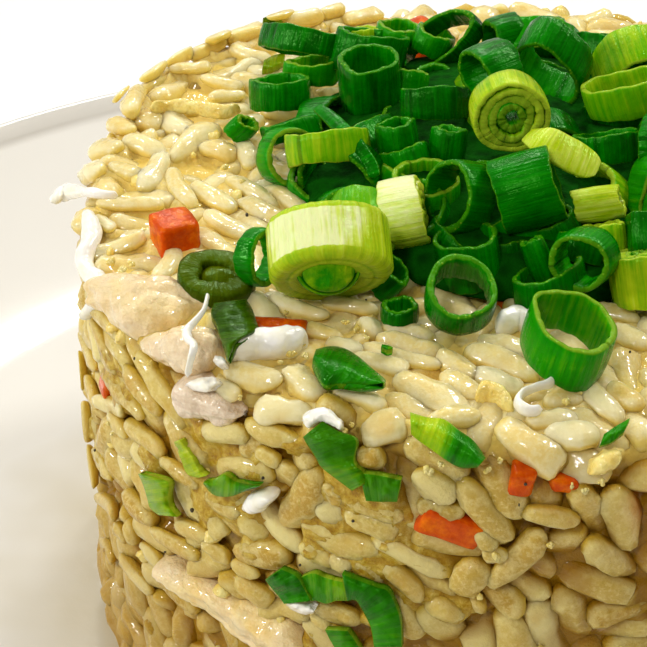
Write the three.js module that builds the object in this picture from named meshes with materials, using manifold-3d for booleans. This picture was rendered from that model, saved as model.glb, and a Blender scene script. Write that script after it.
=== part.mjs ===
// A plate of fried rice: a round moulded mound of rice on a plain white plate, with diced
// carrot, chicken, egg and spring onion set in it and a heap of sliced spring onion on top.
// Millimetres, +Z up. The origin is the middle of the plate's foot, and -Y is the front.
import * as THREE from 'three';
import { mergeVertices } from 'three/addons/utils/BufferGeometryUtils.js';
import Module from 'manifold-3d';

// ---------------------------------------------------------------- driving dimensions
const GAP = 0.3; // clearance between pieces that touch
const PLATE = {
  radius: 110, height: 20, thickness: 4.5, lip: 1.6,
  footRadius: 60, footWidth: 5, footHeight: 3, footDraft: 1.1, wellRadius: 72, sides: 48,
};
const MOUND = {
  radius: 45, height: 52, rimRound: 4, skin: 0.8, sides: 36, sideRows: 4,
};
const GRAIN = { length: 7.6, width: 3.0, thickness: 2.7, onSide: 110, onRim: 26, onTop: 60 };
const HEAP = { x: 0, y: 2, halfWidth: 26, halfDepth: 28, coreHeight: 6.5, sides: 18, ringSides: 7 };
const WALL = 1.0; // thickness of a spring onion's leaf wall
const LONE_SIDES = 16; // sides of a slice that lies on its own
const FINE_FROM = 7.8; // a lump longer than this gets more faces

const wellTop = PLATE.footHeight + PLATE.thickness;
const moundTop = wellTop + MOUND.height;

// ---------------------------------------------------------------- the sliced spring onion
// Rings of the heap: x, y and height over the mound's top, outer radius, length along the
// axis, and where the axis points (azimuth from +X, elevation), in millimetres and degrees.
const HEAP_RINGS = [
  [-21.5, 20.5, 4.2, 4.3, 2.8, 95, 62], [-24.5, 10, 3, 3.6, 3.4, 75, 70],
  [-22, 6, 2.2, 3.4, 2.6, 80, 70], [-24.5, 7.5, 1.6, 2.2, 2.6, -60, 20],
  [-16.5, 20.5, 4.6, 3.8, 3.4, -140, 40], [-15.5, 7.5, 4.2, 3.9, 4.6, -80, 60],
  [-13, 26.5, 2.5, 3.6, 2.8, 60, 70], [-10, 16, 4, 3.5, 3.4, 80, 60],
  [-20, -0.5, 3, 4.3, 3.2, 95, 70], [-17, 1, 4.6, 3.4, 2.4, 40, 40],
  [-21, -4.5, 1.8, 2.9, 2, -95, 35], [-10.5, -3, 3, 3.7, 3.2, -90, 70],
  [-16, -10.5, 2, 3.6, 3, -85, 65], [-12.5, -16, 4.4, 3.2, 3.7, 175, 5],
  [-7.5, -15.5, 5, 3.9, 3.7, -148, 15], [-1.5, -16, 6.6, 4.2, 5.8, 10, 12],
  [-2, -1.5, 8.4, 4.3, 3.2, -98, 42], [-5, 8, 6.5, 4, 6, -10, 20],
  [-8, -0.5, 5.2, 4.2, 3.6, 80, 72], [2.5, -24, 4, 3.6, 2.8, -102, 28],
  [-2.5, -23.5, 3, 3, 2.4, -160, 15], [5.5, -18, 5, 3, 4.4, 5, 15],
  [8, -23, 3, 3.6, 4, -80, 60], [-12.5, -23, 2.2, 3.2, 3.6, 70, 50],
  [13, -15, 3.6, 3.8, 3.4, -60, 35], [13, -6, 6, 4.2, 4.4, -20, 15],
  [10, 3, 7.4, 4, 3.2, 150, 65], [19, -2, 4, 3.8, 3, 10, 55], [3, 9, 7.8, 3.9, 3.6, 60, 30],
  [12, 12, 5.6, 4.2, 5, 100, 20], [20, 8, 3.2, 3.4, 3, -30, 70], [3, 20, 4.6, 3.8, 3.4, 85, 40],
  [12, 21, 2.8, 3.6, 2.8, 40, 70],
];
// Slices that lie on their own at the edge of the heap, one node each: the same values.
const LONE_RINGS = {
  scallion_ring_left: [-25.5, -21.5, 2.8, 2.9, 2.3, -45, 35],
  scallion_ring_middle: [-8, -27.5, 3.9, 3.9, 3.2, -95, 48],
  scallion_ring_front: [1.5, -32.5, 3, 3.85, 3.9, -60, 78],
};
// The thick pale stem: its green heart sits a little below its cut faces.
const STEM = {
  at: [-19.5, -22.5, 4.9, 5.2, 7, -84, -20],
  heart: 2.3, recess: 0.5, groove: 0.9, edge: 0.4, sides: 16,
};

// ---------------------------------------------------------------- what is set in the rice
// Each row: form, where it sits ('top' at x, y or 'side' at azimuth, depth under the top), how
// far its middle lies out of the bare rice, its turn about the outward direction, its length,
// width and thickness, and for a strip how far it arches outwards and sways sideways.
const SET_IN = {
  carrot_top: ['die', 'top', [-34, -11], 1.4, 35, [5.4, 5, 4.8]],
  carrot_by_stem: ['die', 'top', [-24.2, -28], -0.4, -12, [5.4, 3.2, 3.2]],
  carrot_shade: ['die', 'top', [-2.2, -20], -0.9, 20, [6, 4.6, 3.6]],
  carrot_back: ['die', 'top', [-9, 31], 0.6, 50, [5, 4.4, 4]],
  carrot_low: ['die', 'side', [-101.5, 9], -0.6, -38, [6.4, 4.2, 3.4]],
  carrot_rim: ['die', 'side', [-94.6, 3.4], -0.2, 80, [4, 2.8, 3]],
  carrot_right: ['die', 'side', [-90, 5.2], -0.5, 10, [3.4, 2.4, 2.6]],
  carrot_left: ['die', 'side', [-155.6, 13.2], -0.4, 75, [4.4, 3.4, 3]],
  chicken_top: ['lump', 'top', [-33.6, -22], -0.5, -38, [12, 7.5, 5]],
  chicken_rim: ['lump', 'side', [-132, 4.6], -1.2, -40, [9.5, 6, 4.4]],
  chicken_low: ['lump', 'side', [-124, 26.5], -0.9, -33, [17, 7.5, 5]],
  egg_white_front: ['lump', 'top', [-24, -33.4], 0.2, -14, [7.6, 4.6, 3.4]],
  egg_strip_left: ['strip', 'side', [-156.5, 6], 0.1, 84, [12.5, 3, 1.3], 0.4],
  egg_strip_out: ['strip', 'side', [178, 1.6], 0.6, 25, [7, 2, 1], 1.2],
  egg_strand: ['strip', 'side', [-133.6, -0.2], 0.4, 66, [7.4, 1.2, 0.9], 0.6],
  egg_flake_right: ['lump', 'top', [-3.4, -27.4], 0.6, 20, [4, 3.2, 2.6]],
  egg_strand_right: ['strip', 'top', [-1.4, -36.8], 0.6, 38, [6, 1.3, 1], 0.5],
  egg_flake_front: ['lump', 'side', [-115.9, 0.6], -0.1, 15, [4.6, 2.6, 2.2]],
  egg_lump_low: ['lump', 'side', [-124.7, 12], -0.2, 60, [3.6, 2.8, 2.4]],
  egg_yolk_back: ['strip', 'top', [-35, 14.5], 0.5, -12, [7, 2.2, 1.2], 0.3],
  egg_yolk_rim: ['lump', 'top', [-6.4, -39], -0.2, 10, [5.4, 3.6, 3]],
  egg_yolk_right: ['lump', 'side', [-85, 1.8], -0.4, 30, [5, 3.6, 3]],
  onion_cooked_ring: ['strip', 'top', [-28.6, -17.6], 0.6, -22, [7, 3.4, 1.6], 0.9],
  onion_cooked_leaf: ['strip', 'top', [-28.4, -26], 0.4, 104, [7.2, 3.6, 1.4], 0.8],
  onion_leaf_rim: ['strip', 'top', [-16.8, -36], 0.5, -14, [7.2, 3.8, 1.3], 0.6],
  onion_bright_rim: ['strip', 'side', [-102.5, 0.9], 0, -34, [9, 4.2, 1.6], 0.7],
  onion_front: ['strip', 'side', [-111.5, 6.2], -0.1, -38, [12, 3.8, 1.4], 0.5],
  onion_left: ['strip', 'side', [-141.5, 18.3], -0.2, -60, [5, 3.2, 1.3], 0.3],
  onion_middle: ['strip', 'side', [-130.4, 12.4], -0.2, -6, [5.4, 2, 1.3], 0.2],
  onion_curved: ['strip', 'side', [-114.4, 20], -0.1, -8, [12, 3.2, 1.4], 0.6, 2],
};
// More of the same on the sides away from the front, spread evenly with seeded draws.
const AWAY = {
  count: 16, seed: 41, from: -78, sweep: 255, step: 101, under: 5, depth: 40,
  kinds: [
    ['carrot_away', 'die', [5.2, 4.4, 3.6]], ['onion_away', 'strip', [7.5, 3.4, 1.4]],
    ['egg_away', 'lump', [6, 3.8, 3]], ['chicken_away', 'lump', [10, 6.2, 4.6]],
  ],
};

// ---------------------------------------------------------------- materials
const material = (color, roughness) => new THREE.MeshStandardMaterial({ color, roughness, metalness: 0 });
const GLAZE = material(0xf6f4ee, 0.18);
const RICE = material(0xe0c88e, 0.45);
const FRESH_GREEN = material(0x1f6f14, 0.35);
const PALE_GREEN = material(0xcfe08a, 0.4);
const COOKED_GREEN = material(0x4f6a0c, 0.35);
const CARROT = material(0xcb4703, 0.4);
const CHICKEN = material(0xe4c48a, 0.5);
const EGG_WHITE = material(0xf6efcf, 0.4);
const EGG_YOLK = material(0xe6c95a, 0.5);

function finishOf(name) {
  if (name.startsWith('carrot')) return CARROT;
  if (name.startsWith('chicken')) return CHICKEN;
  if (name.startsWith('egg_yolk')) return EGG_YOLK;
  if (name.startsWith('egg')) return EGG_WHITE;
  return COOKED_GREEN;
}

// ---------------------------------------------------------------- small helpers
const wasm = await Module();
wasm.setup();

const radians = THREE.MathUtils.degToRad;

// Seeded draws in 0..1, the same each run.
function drawsFrom(seed) {
  let state = seed >>> 0;
  return () => {
    state = (state + 0x6d2b79f5) >>> 0;
    let t = state;
    t = Math.imul(t ^ (t >>> 15), t | 1);
    t ^= t + Math.imul(t ^ (t >>> 7), t | 61);
    return ((t ^ (t >>> 14)) >>> 0) / 4294967296;
  };
}

// A three.js geometry as a closed solid, and back.
function toSolid(geometry, matrix) {
  const bare = geometry.clone();
  if (matrix) bare.applyMatrix4(matrix);
  bare.deleteAttribute('normal');
  bare.deleteAttribute('uv');
  const merged = mergeVertices(bare, 1e-3);
  const vertProperties = new Float32Array(merged.attributes.position.array);
  const triVerts = new Uint32Array(merged.index.array);
  return new wasm.Manifold(new wasm.Mesh({ numProp: 3, vertProperties, triVerts }));
}

function toGeometry(solid) {
  const { vertProperties, triVerts } = solid.getMesh();
  const geometry = new THREE.BufferGeometry();
  geometry.setAttribute('position', new THREE.BufferAttribute(new Float32Array(vertProperties), 3));
  geometry.setIndex(new THREE.BufferAttribute(new Uint32Array(triVerts), 1));
  geometry.computeVertexNormals();
  return geometry;
}

// The largest body of a solid: cutting can leave loose scraps.
function largest(solid) {
  return solid.decompose().reduce((a, b) => (b.volume() > a.volume() ? b : a));
}

function boxesMeet(a, b) {
  return [0, 1, 2].every((i) => a.min[i] < b.max[i] && b.min[i] < a.max[i]);
}

// Cuts from a solid only those others that come near it.
function clearOf(solid, others) {
  const box = solid.boundingBox();
  let left = solid;
  for (const other of others) {
    if (boxesMeet(box, other.boundingBox())) left = left.subtract(other);
  }
  return left;
}

// ---------------------------------------------------------------- forms
// A turned piece about +Z: profile points are [radius, height] from the lower axis point,
// outwards and up to the upper axis point, or a closed loop clear of the axis.
function turned(profile, sides) {
  const points = profile.map(([r, z]) => new THREE.Vector2(r, z));
  return new THREE.LatheGeometry(points, sides).rotateX(Math.PI / 2);
}

// Moves every vertex of a geometry by a function of its place.
function shaped(geometry, move) {
  const at = geometry.attributes.position;
  const p = new THREE.Vector3();
  for (let i = 0; i < at.count; i++) {
    move(p.fromBufferAttribute(at, i));
    at.setXYZ(i, p.x, p.y, p.z);
  }
  return geometry;
}

function plateForm() {
  const p = PLATE;
  const footInner = p.footRadius - p.footWidth;
  const flare = (t, lift) => [
    p.wellRadius + (p.radius - p.lip - p.wellRadius) * t,
    lift + (p.height - p.lip - wellTop) * t ** 1.5,
  ];
  const steps = [0.25, 0.5, 0.75];
  const under = p.footHeight + p.footDraft;
  const lipDown = (share) => p.height - p.lip * share;
  return turned([
    [0, p.footHeight], [footInner - p.footDraft, p.footHeight], [footInner, 0], [p.footRadius, 0],
    [p.footRadius + p.footDraft, p.footHeight], ...[0.08, ...steps].map((t) => flare(t, under)),
    [p.radius - p.lip / 2, lipDown(1.6)], [p.radius, lipDown(0.8)],
    [p.radius - p.lip / 3, lipDown(0.15)], [p.radius - p.lip, p.height],
    ...steps.toReversed().map((t) => flare(t, wellTop)), [p.wellRadius, wellTop], [0, wellTop],
  ], p.sides);
}

function insideHeap(x, y, margin) {
  const across = (x - HEAP.x) / (HEAP.halfWidth + margin);
  const along = (y - HEAP.y) / (HEAP.halfDepth + margin);
  return Math.hypot(across, along) < 1;
}

// The rice without its showing grains: a drum with a rounded rim.
function riceCore() {
  const m = MOUND;
  const r = m.radius - m.skin;
  const flat = r - m.rimRound;
  const base = wellTop + GAP;
  const top = moundTop - m.skin;
  const profile = [[0, base], [r - 1, base], [r, base + 1]];
  for (let i = 1; i <= m.sideRows; i++) {
    profile.push([r, base + 1 + (top - m.rimRound - base - 1) * (i / m.sideRows)]);
  }
  for (const angle of [30, 60, 90]) {
    const a = radians(angle);
    profile.push([flat + m.rimRound * Math.cos(a), top - m.rimRound * (1 - Math.sin(a))]);
  }
  profile.push([0, top]);
  return turned(profile, m.sides);
}

function grainForm(scale) {
  return new THREE.SphereGeometry(0.5, 4, 3).rotateZ(Math.PI / 2)
    .rotateX(0.5)
    .scale(GRAIN.length * scale, GRAIN.width, GRAIN.thickness);
}

// A slice of spring onion about +Z: an open ring, a little out of round.
function ringForm(radius, length, sides, grow = 0) {
  const inner = radius - WALL - grow;
  const outer = radius + grow;
  const half = length / 2 + grow;
  return turned([[inner, -half], [outer, -half], [outer, half], [inner, half], [inner, -half]], sides)
    .scale(1.06, 0.95, 1);
}

function stemForm(grow = 0) {
  const { heart, recess, groove, edge, sides } = STEM;
  const face = STEM.at[4] / 2 + grow;
  const outer = STEM.at[3] + grow;
  const heartFace = grow ? face : face - recess;
  const grooveFace = grow ? face : face - groove;
  const upper = [
    [outer, face - edge], [outer - edge, face], [heart + edge, face], [heart, grooveFace],
    [heart - edge, heartFace], [0, heartFace],
  ];
  const lower = upper.map(([r, z]) => [r, -z]).toReversed();
  return turned([...lower, ...upper], sides);
}

// A hand-cut die: a box with its edges eased and its faces a little off square.
function dieForm([length, width, thickness], grow, seed) {
  const skew = 0.12 * Math.sin(seed * 7);
  const cuts = grow ? 1 : 2; // a pocket for a die stays a plain box
  return shaped(new THREE.BoxGeometry(2, 2, 2, cuts, cuts, cuts), (p) => {
    const edges = [p.x, p.y, p.z].filter((v) => Math.abs(v) > 0.9).length;
    if (!grow) p.multiplyScalar(edges === 3 ? 0.87 : edges === 2 ? 0.95 : 1);
    p.x += skew * p.y;
    p.y += 0.08 * p.z * p.x;
    p.set(p.x * (length / 2 + grow), p.y * (width / 2 + grow), p.z * (thickness / 2 + grow));
  });
}

// A torn lump of chicken or egg, finer where it is large.
function lumpForm([length, width, thickness], grow, seed) {
  return shaped(new THREE.IcosahedronGeometry(1, length > FINE_FROM ? 1 : 0), (p) => {
    const dent = 0.09 * Math.sin(5 * p.x + 3 * p.y + seed);
    const tear = 0.08 * Math.sin(6 * p.y - 4 * p.z + 2 * seed);
    p.multiplyScalar(1 + dent + tear);
    p.set(p.x * (length / 2 + grow), p.y * (width / 2 + grow), p.z * (thickness / 2 + grow));
  });
}

// A strip that arches off the surface and may sway sideways, narrower at its ends.
function stripForm([length, width, thickness], grow, seed, arch = 0, sway = 0) {
  return shaped(new THREE.BoxGeometry(2, 2, 2, 5, 1, 1), (p) => {
    const middle = 1 - p.x * p.x;
    const narrow = 0.62 + 0.38 * Math.sqrt(middle);
    const wander = sway * (0.5 - middle) + 0.12 * width * Math.sin(3 * p.x + seed);
    p.y = p.y * (width / 2 + grow) * narrow + wander;
    p.z = p.z * (thickness / 2 + grow) + arch * middle;
    p.x *= length / 2 + grow;
  });
}

const FORMS = { die: dieForm, lump: lumpForm, strip: stripForm };

// ---------------------------------------------------------------- places
// The matrix that seats a form on the mound, its own +Z pointing out of the rice.
function seat({ on, at: [a, b], out, turn = 0, pitch = 0 }) {
  const normal = new THREE.Vector3(0, 0, 1);
  const along = new THREE.Vector3(1, 0, 0);
  const place = new THREE.Vector3();
  if (on === 'top') {
    place.set(a, b, moundTop - MOUND.skin + out);
  } else {
    const angle = radians(a);
    const r = MOUND.radius - MOUND.skin + out;
    normal.set(Math.cos(angle), Math.sin(angle), 0);
    along.set(-Math.sin(angle), Math.cos(angle), 0);
    place.set(r * normal.x, r * normal.y, moundTop - b);
  }
  const across = new THREE.Vector3().crossVectors(normal, along);
  return new THREE.Matrix4()
    .makeBasis(along, across, normal)
    .multiply(new THREE.Matrix4().makeRotationZ(radians(turn)))
    .multiply(new THREE.Matrix4().makeRotationY(radians(-pitch)))
    .setPosition(place);
}

// The matrix of a slice whose own +Z is its axis.
function slicePlace([x, y, lift, , , azimuth, elevation]) {
  const a = radians(azimuth);
  const e = radians(elevation);
  const axis = new THREE.Vector3(Math.cos(e) * Math.cos(a), Math.cos(e) * Math.sin(a), Math.sin(e));
  const turn = new THREE.Quaternion().setFromUnitVectors(new THREE.Vector3(0, 0, 1), axis);
  return new THREE.Matrix4().makeRotationFromQuaternion(turn).setPosition(x, y, moundTop + lift);
}

// The pieces away from the front, each a fixed step further round and a little lower down.
function piecesAway() {
  const draw = drawsFrom(AWAY.seed);
  const found = {};
  for (let i = 0; i < AWAY.count; i++) {
    const [name, kind, size] = AWAY.kinds[i % AWAY.kinds.length];
    const vary = 0.8 + 0.35 * draw();
    const azimuth = AWAY.from + ((i * AWAY.step) % AWAY.sweep);
    const at = [azimuth, AWAY.under + (i * AWAY.depth) / AWAY.count + 3 * draw()];
    const turn = -70 + 140 * draw();
    const number = 1 + Math.floor(i / AWAY.kinds.length);
    found[`${name}_${number}`] = [kind, 'side', at, -0.4, turn, size.map((v) => v * vary), 0.3];
  }
  return found;
}

// ---------------------------------------------------------------- building
const group = new THREE.Group();

function addNode(name, solid, look) {
  const mesh = new THREE.Mesh(toGeometry(largest(solid)), look);
  mesh.name = name;
  group.add(mesh);
}

// Lone slices and set-in pieces, each clear of those placed before it.
function buildPieces() {
  const taken = [];
  const add = (name, solid, grown, look) => {
    addNode(name, clearOf(solid, taken), look);
    taken.push(grown);
  };
  const stemPlace = slicePlace(STEM.at);
  add('scallion_stem', toSolid(stemForm(), stemPlace), toSolid(stemForm(GAP), stemPlace), PALE_GREEN);
  for (const [name, slice] of Object.entries(LONE_RINGS)) {
    const place = slicePlace(slice);
    const form = (grow) => toSolid(ringForm(slice[3], slice[4], LONE_SIDES, grow), place);
    add(name, form(0), form(GAP), FRESH_GREEN);
  }
  Object.entries({ ...SET_IN, ...piecesAway() }).forEach(([name, row], seed) => {
    const [kind, on, at, out, turn, size, arch, sway] = row;
    const place = seat({ on, at, out, turn });
    const form = (grow) => toSolid(FORMS[kind](size, grow, seed, arch, sway), place);
    add(name, form(0), form(GAP), finishOf(name));
  });
  return taken;
}

// The heap: a low lobed dome with the rings fused on, flat underneath.
function buildHeap(taken) {
  const dome = shaped(new THREE.SphereGeometry(1, HEAP.sides, 8), (p) => {
    const lobes = 0.95 + 0.05 * Math.sin(5 * Math.atan2(p.y, p.x));
    p.set(
      HEAP.x + p.x * lobes * HEAP.halfWidth,
      HEAP.y + p.y * lobes * HEAP.halfDepth,
      moundTop + p.z * HEAP.coreHeight,
    );
  });
  let heap = toSolid(dome);
  for (const slice of HEAP_RINGS) {
    heap = heap.add(toSolid(ringForm(slice[3], slice[4], HEAP.ringSides), slicePlace(slice)));
  }
  const above = 2 * MOUND.radius;
  const room = new THREE.BoxGeometry(above, above, above)
    .translate(0, 0, moundTop + GAP + above / 2);
  addNode('scallion_heap', clearOf(heap.intersect(toSolid(room)), taken), FRESH_GREEN);
}

// Where the showing grains lie: round the side, along the rim and on the top outside the heap.
function grainPlaces() {
  const draw = drawsFrom(7);
  const golden = 180 * (3 - Math.sqrt(5));
  const places = [];
  for (let i = 0; i < GRAIN.onSide; i++) {
    const under = 6 + ((MOUND.height - 11.5) * (i + 0.5)) / GRAIN.onSide;
    places.push({ on: 'side', at: [i * golden + 6 * draw(), under], out: 0.1, turn: 180 * draw() });
  }
  for (let i = 0; i < GRAIN.onRim; i++) {
    const at = [(i * 360) / GRAIN.onRim + 8 * draw(), 2.2 + draw()];
    places.push({ on: 'side', at, out: -0.5, turn: 60 * draw() - 30 });
  }
  for (let i = 0; i < GRAIN.onTop; i++) {
    const angle = radians(i * golden);
    const r = (MOUND.radius - 4) * Math.sqrt((i + 0.5) / GRAIN.onTop);
    const at = [r * Math.cos(angle), r * Math.sin(angle)];
    places.push({ on: 'top', at, out: 0.4, turn: 180 * draw(), pitch: 10 * draw() - 5 });
  }
  return places;
}

function buildRice(taken) {
  const draw = drawsFrom(19);
  const boxes = taken.map((solid) => solid.boundingBox());
  let rice = toSolid(riceCore());
  for (const place of grainPlaces()) {
    if (place.on === 'top' && insideHeap(...place.at, 4)) continue;
    const grain = toSolid(grainForm(0.85 + 0.3 * draw()), seat(place));
    const box = grain.boundingBox();
    if (boxes.some((other) => boxesMeet(box, other))) continue;
    rice = rice.add(grain);
  }
  addNode('rice', clearOf(rice, taken), RICE);
}

addNode('plate', toSolid(plateForm()), GLAZE);
const taken = buildPieces();
buildHeap(taken);
buildRice(taken);

export default group;
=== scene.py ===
"""A moulded mound of fried rice on a plain white plate, under a heap of sliced spring onion.

Lengths are millimetres until they reach a mesh, which is in metres. The origin is the middle
of the plate's foot, +Z is up and -Y is the front of the dish.
"""
import math

import bpy
import numpy as np
from mathutils import Matrix, Vector


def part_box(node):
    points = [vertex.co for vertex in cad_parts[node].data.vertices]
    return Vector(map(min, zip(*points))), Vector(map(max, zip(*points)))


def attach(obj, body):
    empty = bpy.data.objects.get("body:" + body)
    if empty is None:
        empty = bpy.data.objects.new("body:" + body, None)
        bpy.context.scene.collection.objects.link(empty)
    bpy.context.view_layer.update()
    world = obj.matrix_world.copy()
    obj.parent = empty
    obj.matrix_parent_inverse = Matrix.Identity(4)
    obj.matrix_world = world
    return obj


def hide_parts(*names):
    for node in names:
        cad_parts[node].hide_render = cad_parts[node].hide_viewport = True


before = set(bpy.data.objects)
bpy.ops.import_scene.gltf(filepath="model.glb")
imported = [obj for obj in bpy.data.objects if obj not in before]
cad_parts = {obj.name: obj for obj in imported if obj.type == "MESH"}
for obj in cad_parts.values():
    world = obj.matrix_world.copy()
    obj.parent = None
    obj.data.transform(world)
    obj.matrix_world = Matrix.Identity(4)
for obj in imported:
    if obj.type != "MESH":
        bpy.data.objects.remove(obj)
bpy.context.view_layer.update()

# ------------------------------------------------------------------ driving dimensions
MM = 0.001
UP = np.array([0.0, 0.0, 1.0])
GOLDEN_ANGLE = math.pi * (3 - math.sqrt(5))
PLATE = dict(radius=110.0, height=20.0, thickness=4.5, lip=1.6, foot_radius=60.0, foot_width=5.0,
             foot_height=3.0, foot_draft=1.1, well_radius=72.0, segments=192)
MOUND = dict(radius=45.0, height=52.0, rim_round=4.0)
WELL_TOP = PLATE["foot_height"] + PLATE["thickness"]
MOUND_TOP = WELL_TOP + MOUND["height"]
# The food lies just clear of the glaze.
LOWEST, GRAIN_FLOOR, PASTE_FLOOR = WELL_TOP + 0.3, WELL_TOP + 0.35, WELL_TOP + 0.25
HEAP = dict(x=0.0, y=2.0, half_width=26.0, half_depth=28.0, core_height=6.0,
            scraps=(0.88, 0.88, 0.7))  # how much of it the scraps fill, by axis
FLOOR = 6000.0  # half the width of the table

# The camera looks down on the front left of the mound. Its focal length is in the photo's pixels.
VIEW = dict(elevation=33.835, roll=0.546, distance=191.4, target=(-19.87, 0.0, 41.35),
            picture_px=647, focal_px=1829.1, sensor_mm=36.0, clip_m=(0.01, 10.0))

# The sky is brightest towards one side, from where it fades to a warm, dim room.
SKY = dict(strength=0.52, side=(-0.60, 0.20, 0.77), dim_at=-0.5, bright_at=0.9,
           bright=(1.0, 0.97, 0.90), dim=(0.22, 0.14, 0.06))
# Square lamps, all aimed at one place: where each stands, its width and its power.
LAMP_COLOUR = (1.0, 0.97, 0.92)
LAMPS_AIM = (0, 0, 40)
LAMPS = dict(
    right=((280, 130, 430), 70, 0.90),
    back=((-60, 400, 350), 50, 0.36),
    back_right=((120, 320, 420), 60, 0.40),
    back_left=((-200, 260, 400), 60, 0.36),
    left=((-420, -60, 220), 60, 0.70),
    front=((-170, -320, 430), 60, 0.62),
)

# ------------------------------------------------------------------ small helpers


def unit(v):
    v = np.asarray(v, float)
    return v / np.maximum(np.linalg.norm(v, axis=-1, keepdims=True), 1e-9)


def dot(a, b):
    return np.sum(a * b, axis=-1)


def lattice_hash(cell, seed):
    """Draws in 0..1 for whole-number cells, the same each run."""
    n = (cell[..., 0] * 374761393 + cell[..., 1] * 668265263 + cell[..., 2] * 1274126177
         + seed * 974634777) & 0xFFFFFFFF
    n = ((n ^ (n >> 13)) * 1103515245) & 0xFFFFFFFF
    n = ((n ^ (n >> 16)) * 2246822519) & 0xFFFFFFFF
    return ((n ^ (n >> 15)) & 0xFFFF) / 65535.0


def noise(p, size, seed=0):
    """Smooth noise in -1..1 at points p, with bumps about `size` mm across."""
    q = np.asarray(p, float) / size
    cell = np.floor(q).astype(np.int64)
    f = q - cell
    f = f * f * (3 - 2 * f)
    total = np.zeros(q.shape[:-1])
    for dx in (0, 1):
        for dy in (0, 1):
            for dz in (0, 1):
                w = (np.where(dx, f[..., 0], 1 - f[..., 0])
                     * np.where(dy, f[..., 1], 1 - f[..., 1])
                     * np.where(dz, f[..., 2], 1 - f[..., 2]))
                total += w * lattice_hash(cell + np.array([dx, dy, dz]), seed)
    return 2 * total - 1


def rough(p, size, seed=0):
    """Noise with two finer layers on it."""
    return (noise(p, size, seed) + 0.5 * noise(p, size / 2, seed + 1)
            + 0.25 * noise(p, size / 4, seed + 2)) / 1.75


def direction(azimuth, elevation):
    a, e = math.radians(azimuth), math.radians(elevation)
    return np.array([math.cos(e) * math.cos(a), math.cos(e) * math.sin(a), math.sin(e)])


def circle(sides):
    """Angles round a circle."""
    return np.linspace(0, 2 * np.pi, sides, endpoint=False)


def revolve(radius, height, sides):
    """Rows of points round Z, one row for each radius and height."""
    angle = circle(sides)
    flat = np.asarray(radius)[:, None]
    level = np.broadcast_to(np.asarray(height)[:, None], (len(flat), sides))
    return np.stack([flat * np.cos(angle), flat * np.sin(angle), level], -1)


def run_along(points):
    """The way run from the first point to each."""
    return np.concatenate([[0], np.cumsum(np.linalg.norm(np.diff(points, axis=0), axis=1))])


# ------------------------------------------------------------------ the camera and its rays


def camera_axes():
    e, roll = math.radians(VIEW["elevation"]), math.radians(VIEW["roll"])
    back = np.array([0.0, -math.cos(e), math.sin(e)])
    level = np.array([1.0, 0.0, 0.0])
    upright = np.array([0.0, math.sin(e), math.cos(e)])
    right = math.cos(roll) * level + math.sin(roll) * upright
    up = -math.sin(roll) * level + math.cos(roll) * upright
    return right, up, back


CAM_RIGHT, CAM_UP, CAM_BACK = camera_axes()
CAM_AT = np.array(VIEW["target"]) + CAM_BACK * VIEW["distance"]


def make_camera():
    data = bpy.data.cameras.new("camera")
    data.sensor_width = VIEW["sensor_mm"]
    data.lens = VIEW["focal_px"] / VIEW["picture_px"] * VIEW["sensor_mm"]
    data.clip_start, data.clip_end = VIEW["clip_m"]
    camera = bpy.data.objects.new("camera", data)
    turn = Matrix((CAM_RIGHT, CAM_UP, CAM_BACK)).transposed().to_4x4()
    camera.matrix_world = Matrix.Translation(Vector(CAM_AT * MM)) @ turn
    bpy.context.scene.collection.objects.link(camera)
    bpy.context.scene.camera = camera


def mound_surface(p):
    """Height above the mould's surface (negative inside) and the outward direction."""
    rim = MOUND["rim_round"]
    flat = np.hypot(p[..., 0], p[..., 1])
    outward = p * [1, 1, 0] / np.maximum(flat, 1e-6)[..., None]
    across = flat - (MOUND["radius"] - rim)
    above = p[..., 2] - (MOUND_TOP - rim)
    corner = (across > 0) & (above > 0)
    reach = np.hypot(across, above)
    side = across > above
    height = np.where(corner, reach, np.maximum(across, above)) - rim
    reach = np.maximum(reach, 1e-6)
    normal = outward * np.where(corner, across / reach, np.where(side, 1.0, 0.0))[..., None]
    normal[..., 2] = np.where(corner, above / reach, np.where(side, 0.0, 1.0))
    return height, normal


def picture_ray(px):
    """The direction from the camera through points of the picture, in pixels."""
    px = np.asarray(px, float)
    half = VIEW["picture_px"] / 2
    x = (px[..., 0] - half) / VIEW["focal_px"]
    y = (half - px[..., 1]) / VIEW["focal_px"]
    return unit(-CAM_BACK + x[..., None] * CAM_RIGHT + y[..., None] * CAM_UP)


def on_mound(px, over=0.0):
    """Where the picture's points, in pixels, meet a surface `over` mm outside the mould's, or
    come closest to it: places and normals."""
    ray = picture_ray(px)
    start, steps = 60.0, 170
    far = np.full(ray.shape[:-1], start)
    best, least = far, np.full(ray.shape[:-1], np.inf)
    for _ in range(steps):
        height, _ = mound_surface(CAM_AT + ray * far[..., None])
        best = np.where(height < least, far, best)
        least = np.minimum(height, least)
        far = far + np.where(height > over, np.maximum(height - over, 0.02) * 0.9, 0)
    place = CAM_AT + ray * best[..., None]
    return place, mound_surface(place)[1]


def px_to_mm(length, place):
    """A width in pixels at a place, as millimetres."""
    return length * dot(CAM_AT - place, CAM_BACK) / VIEW["focal_px"]


# ------------------------------------------------------------------ meshes


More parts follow.
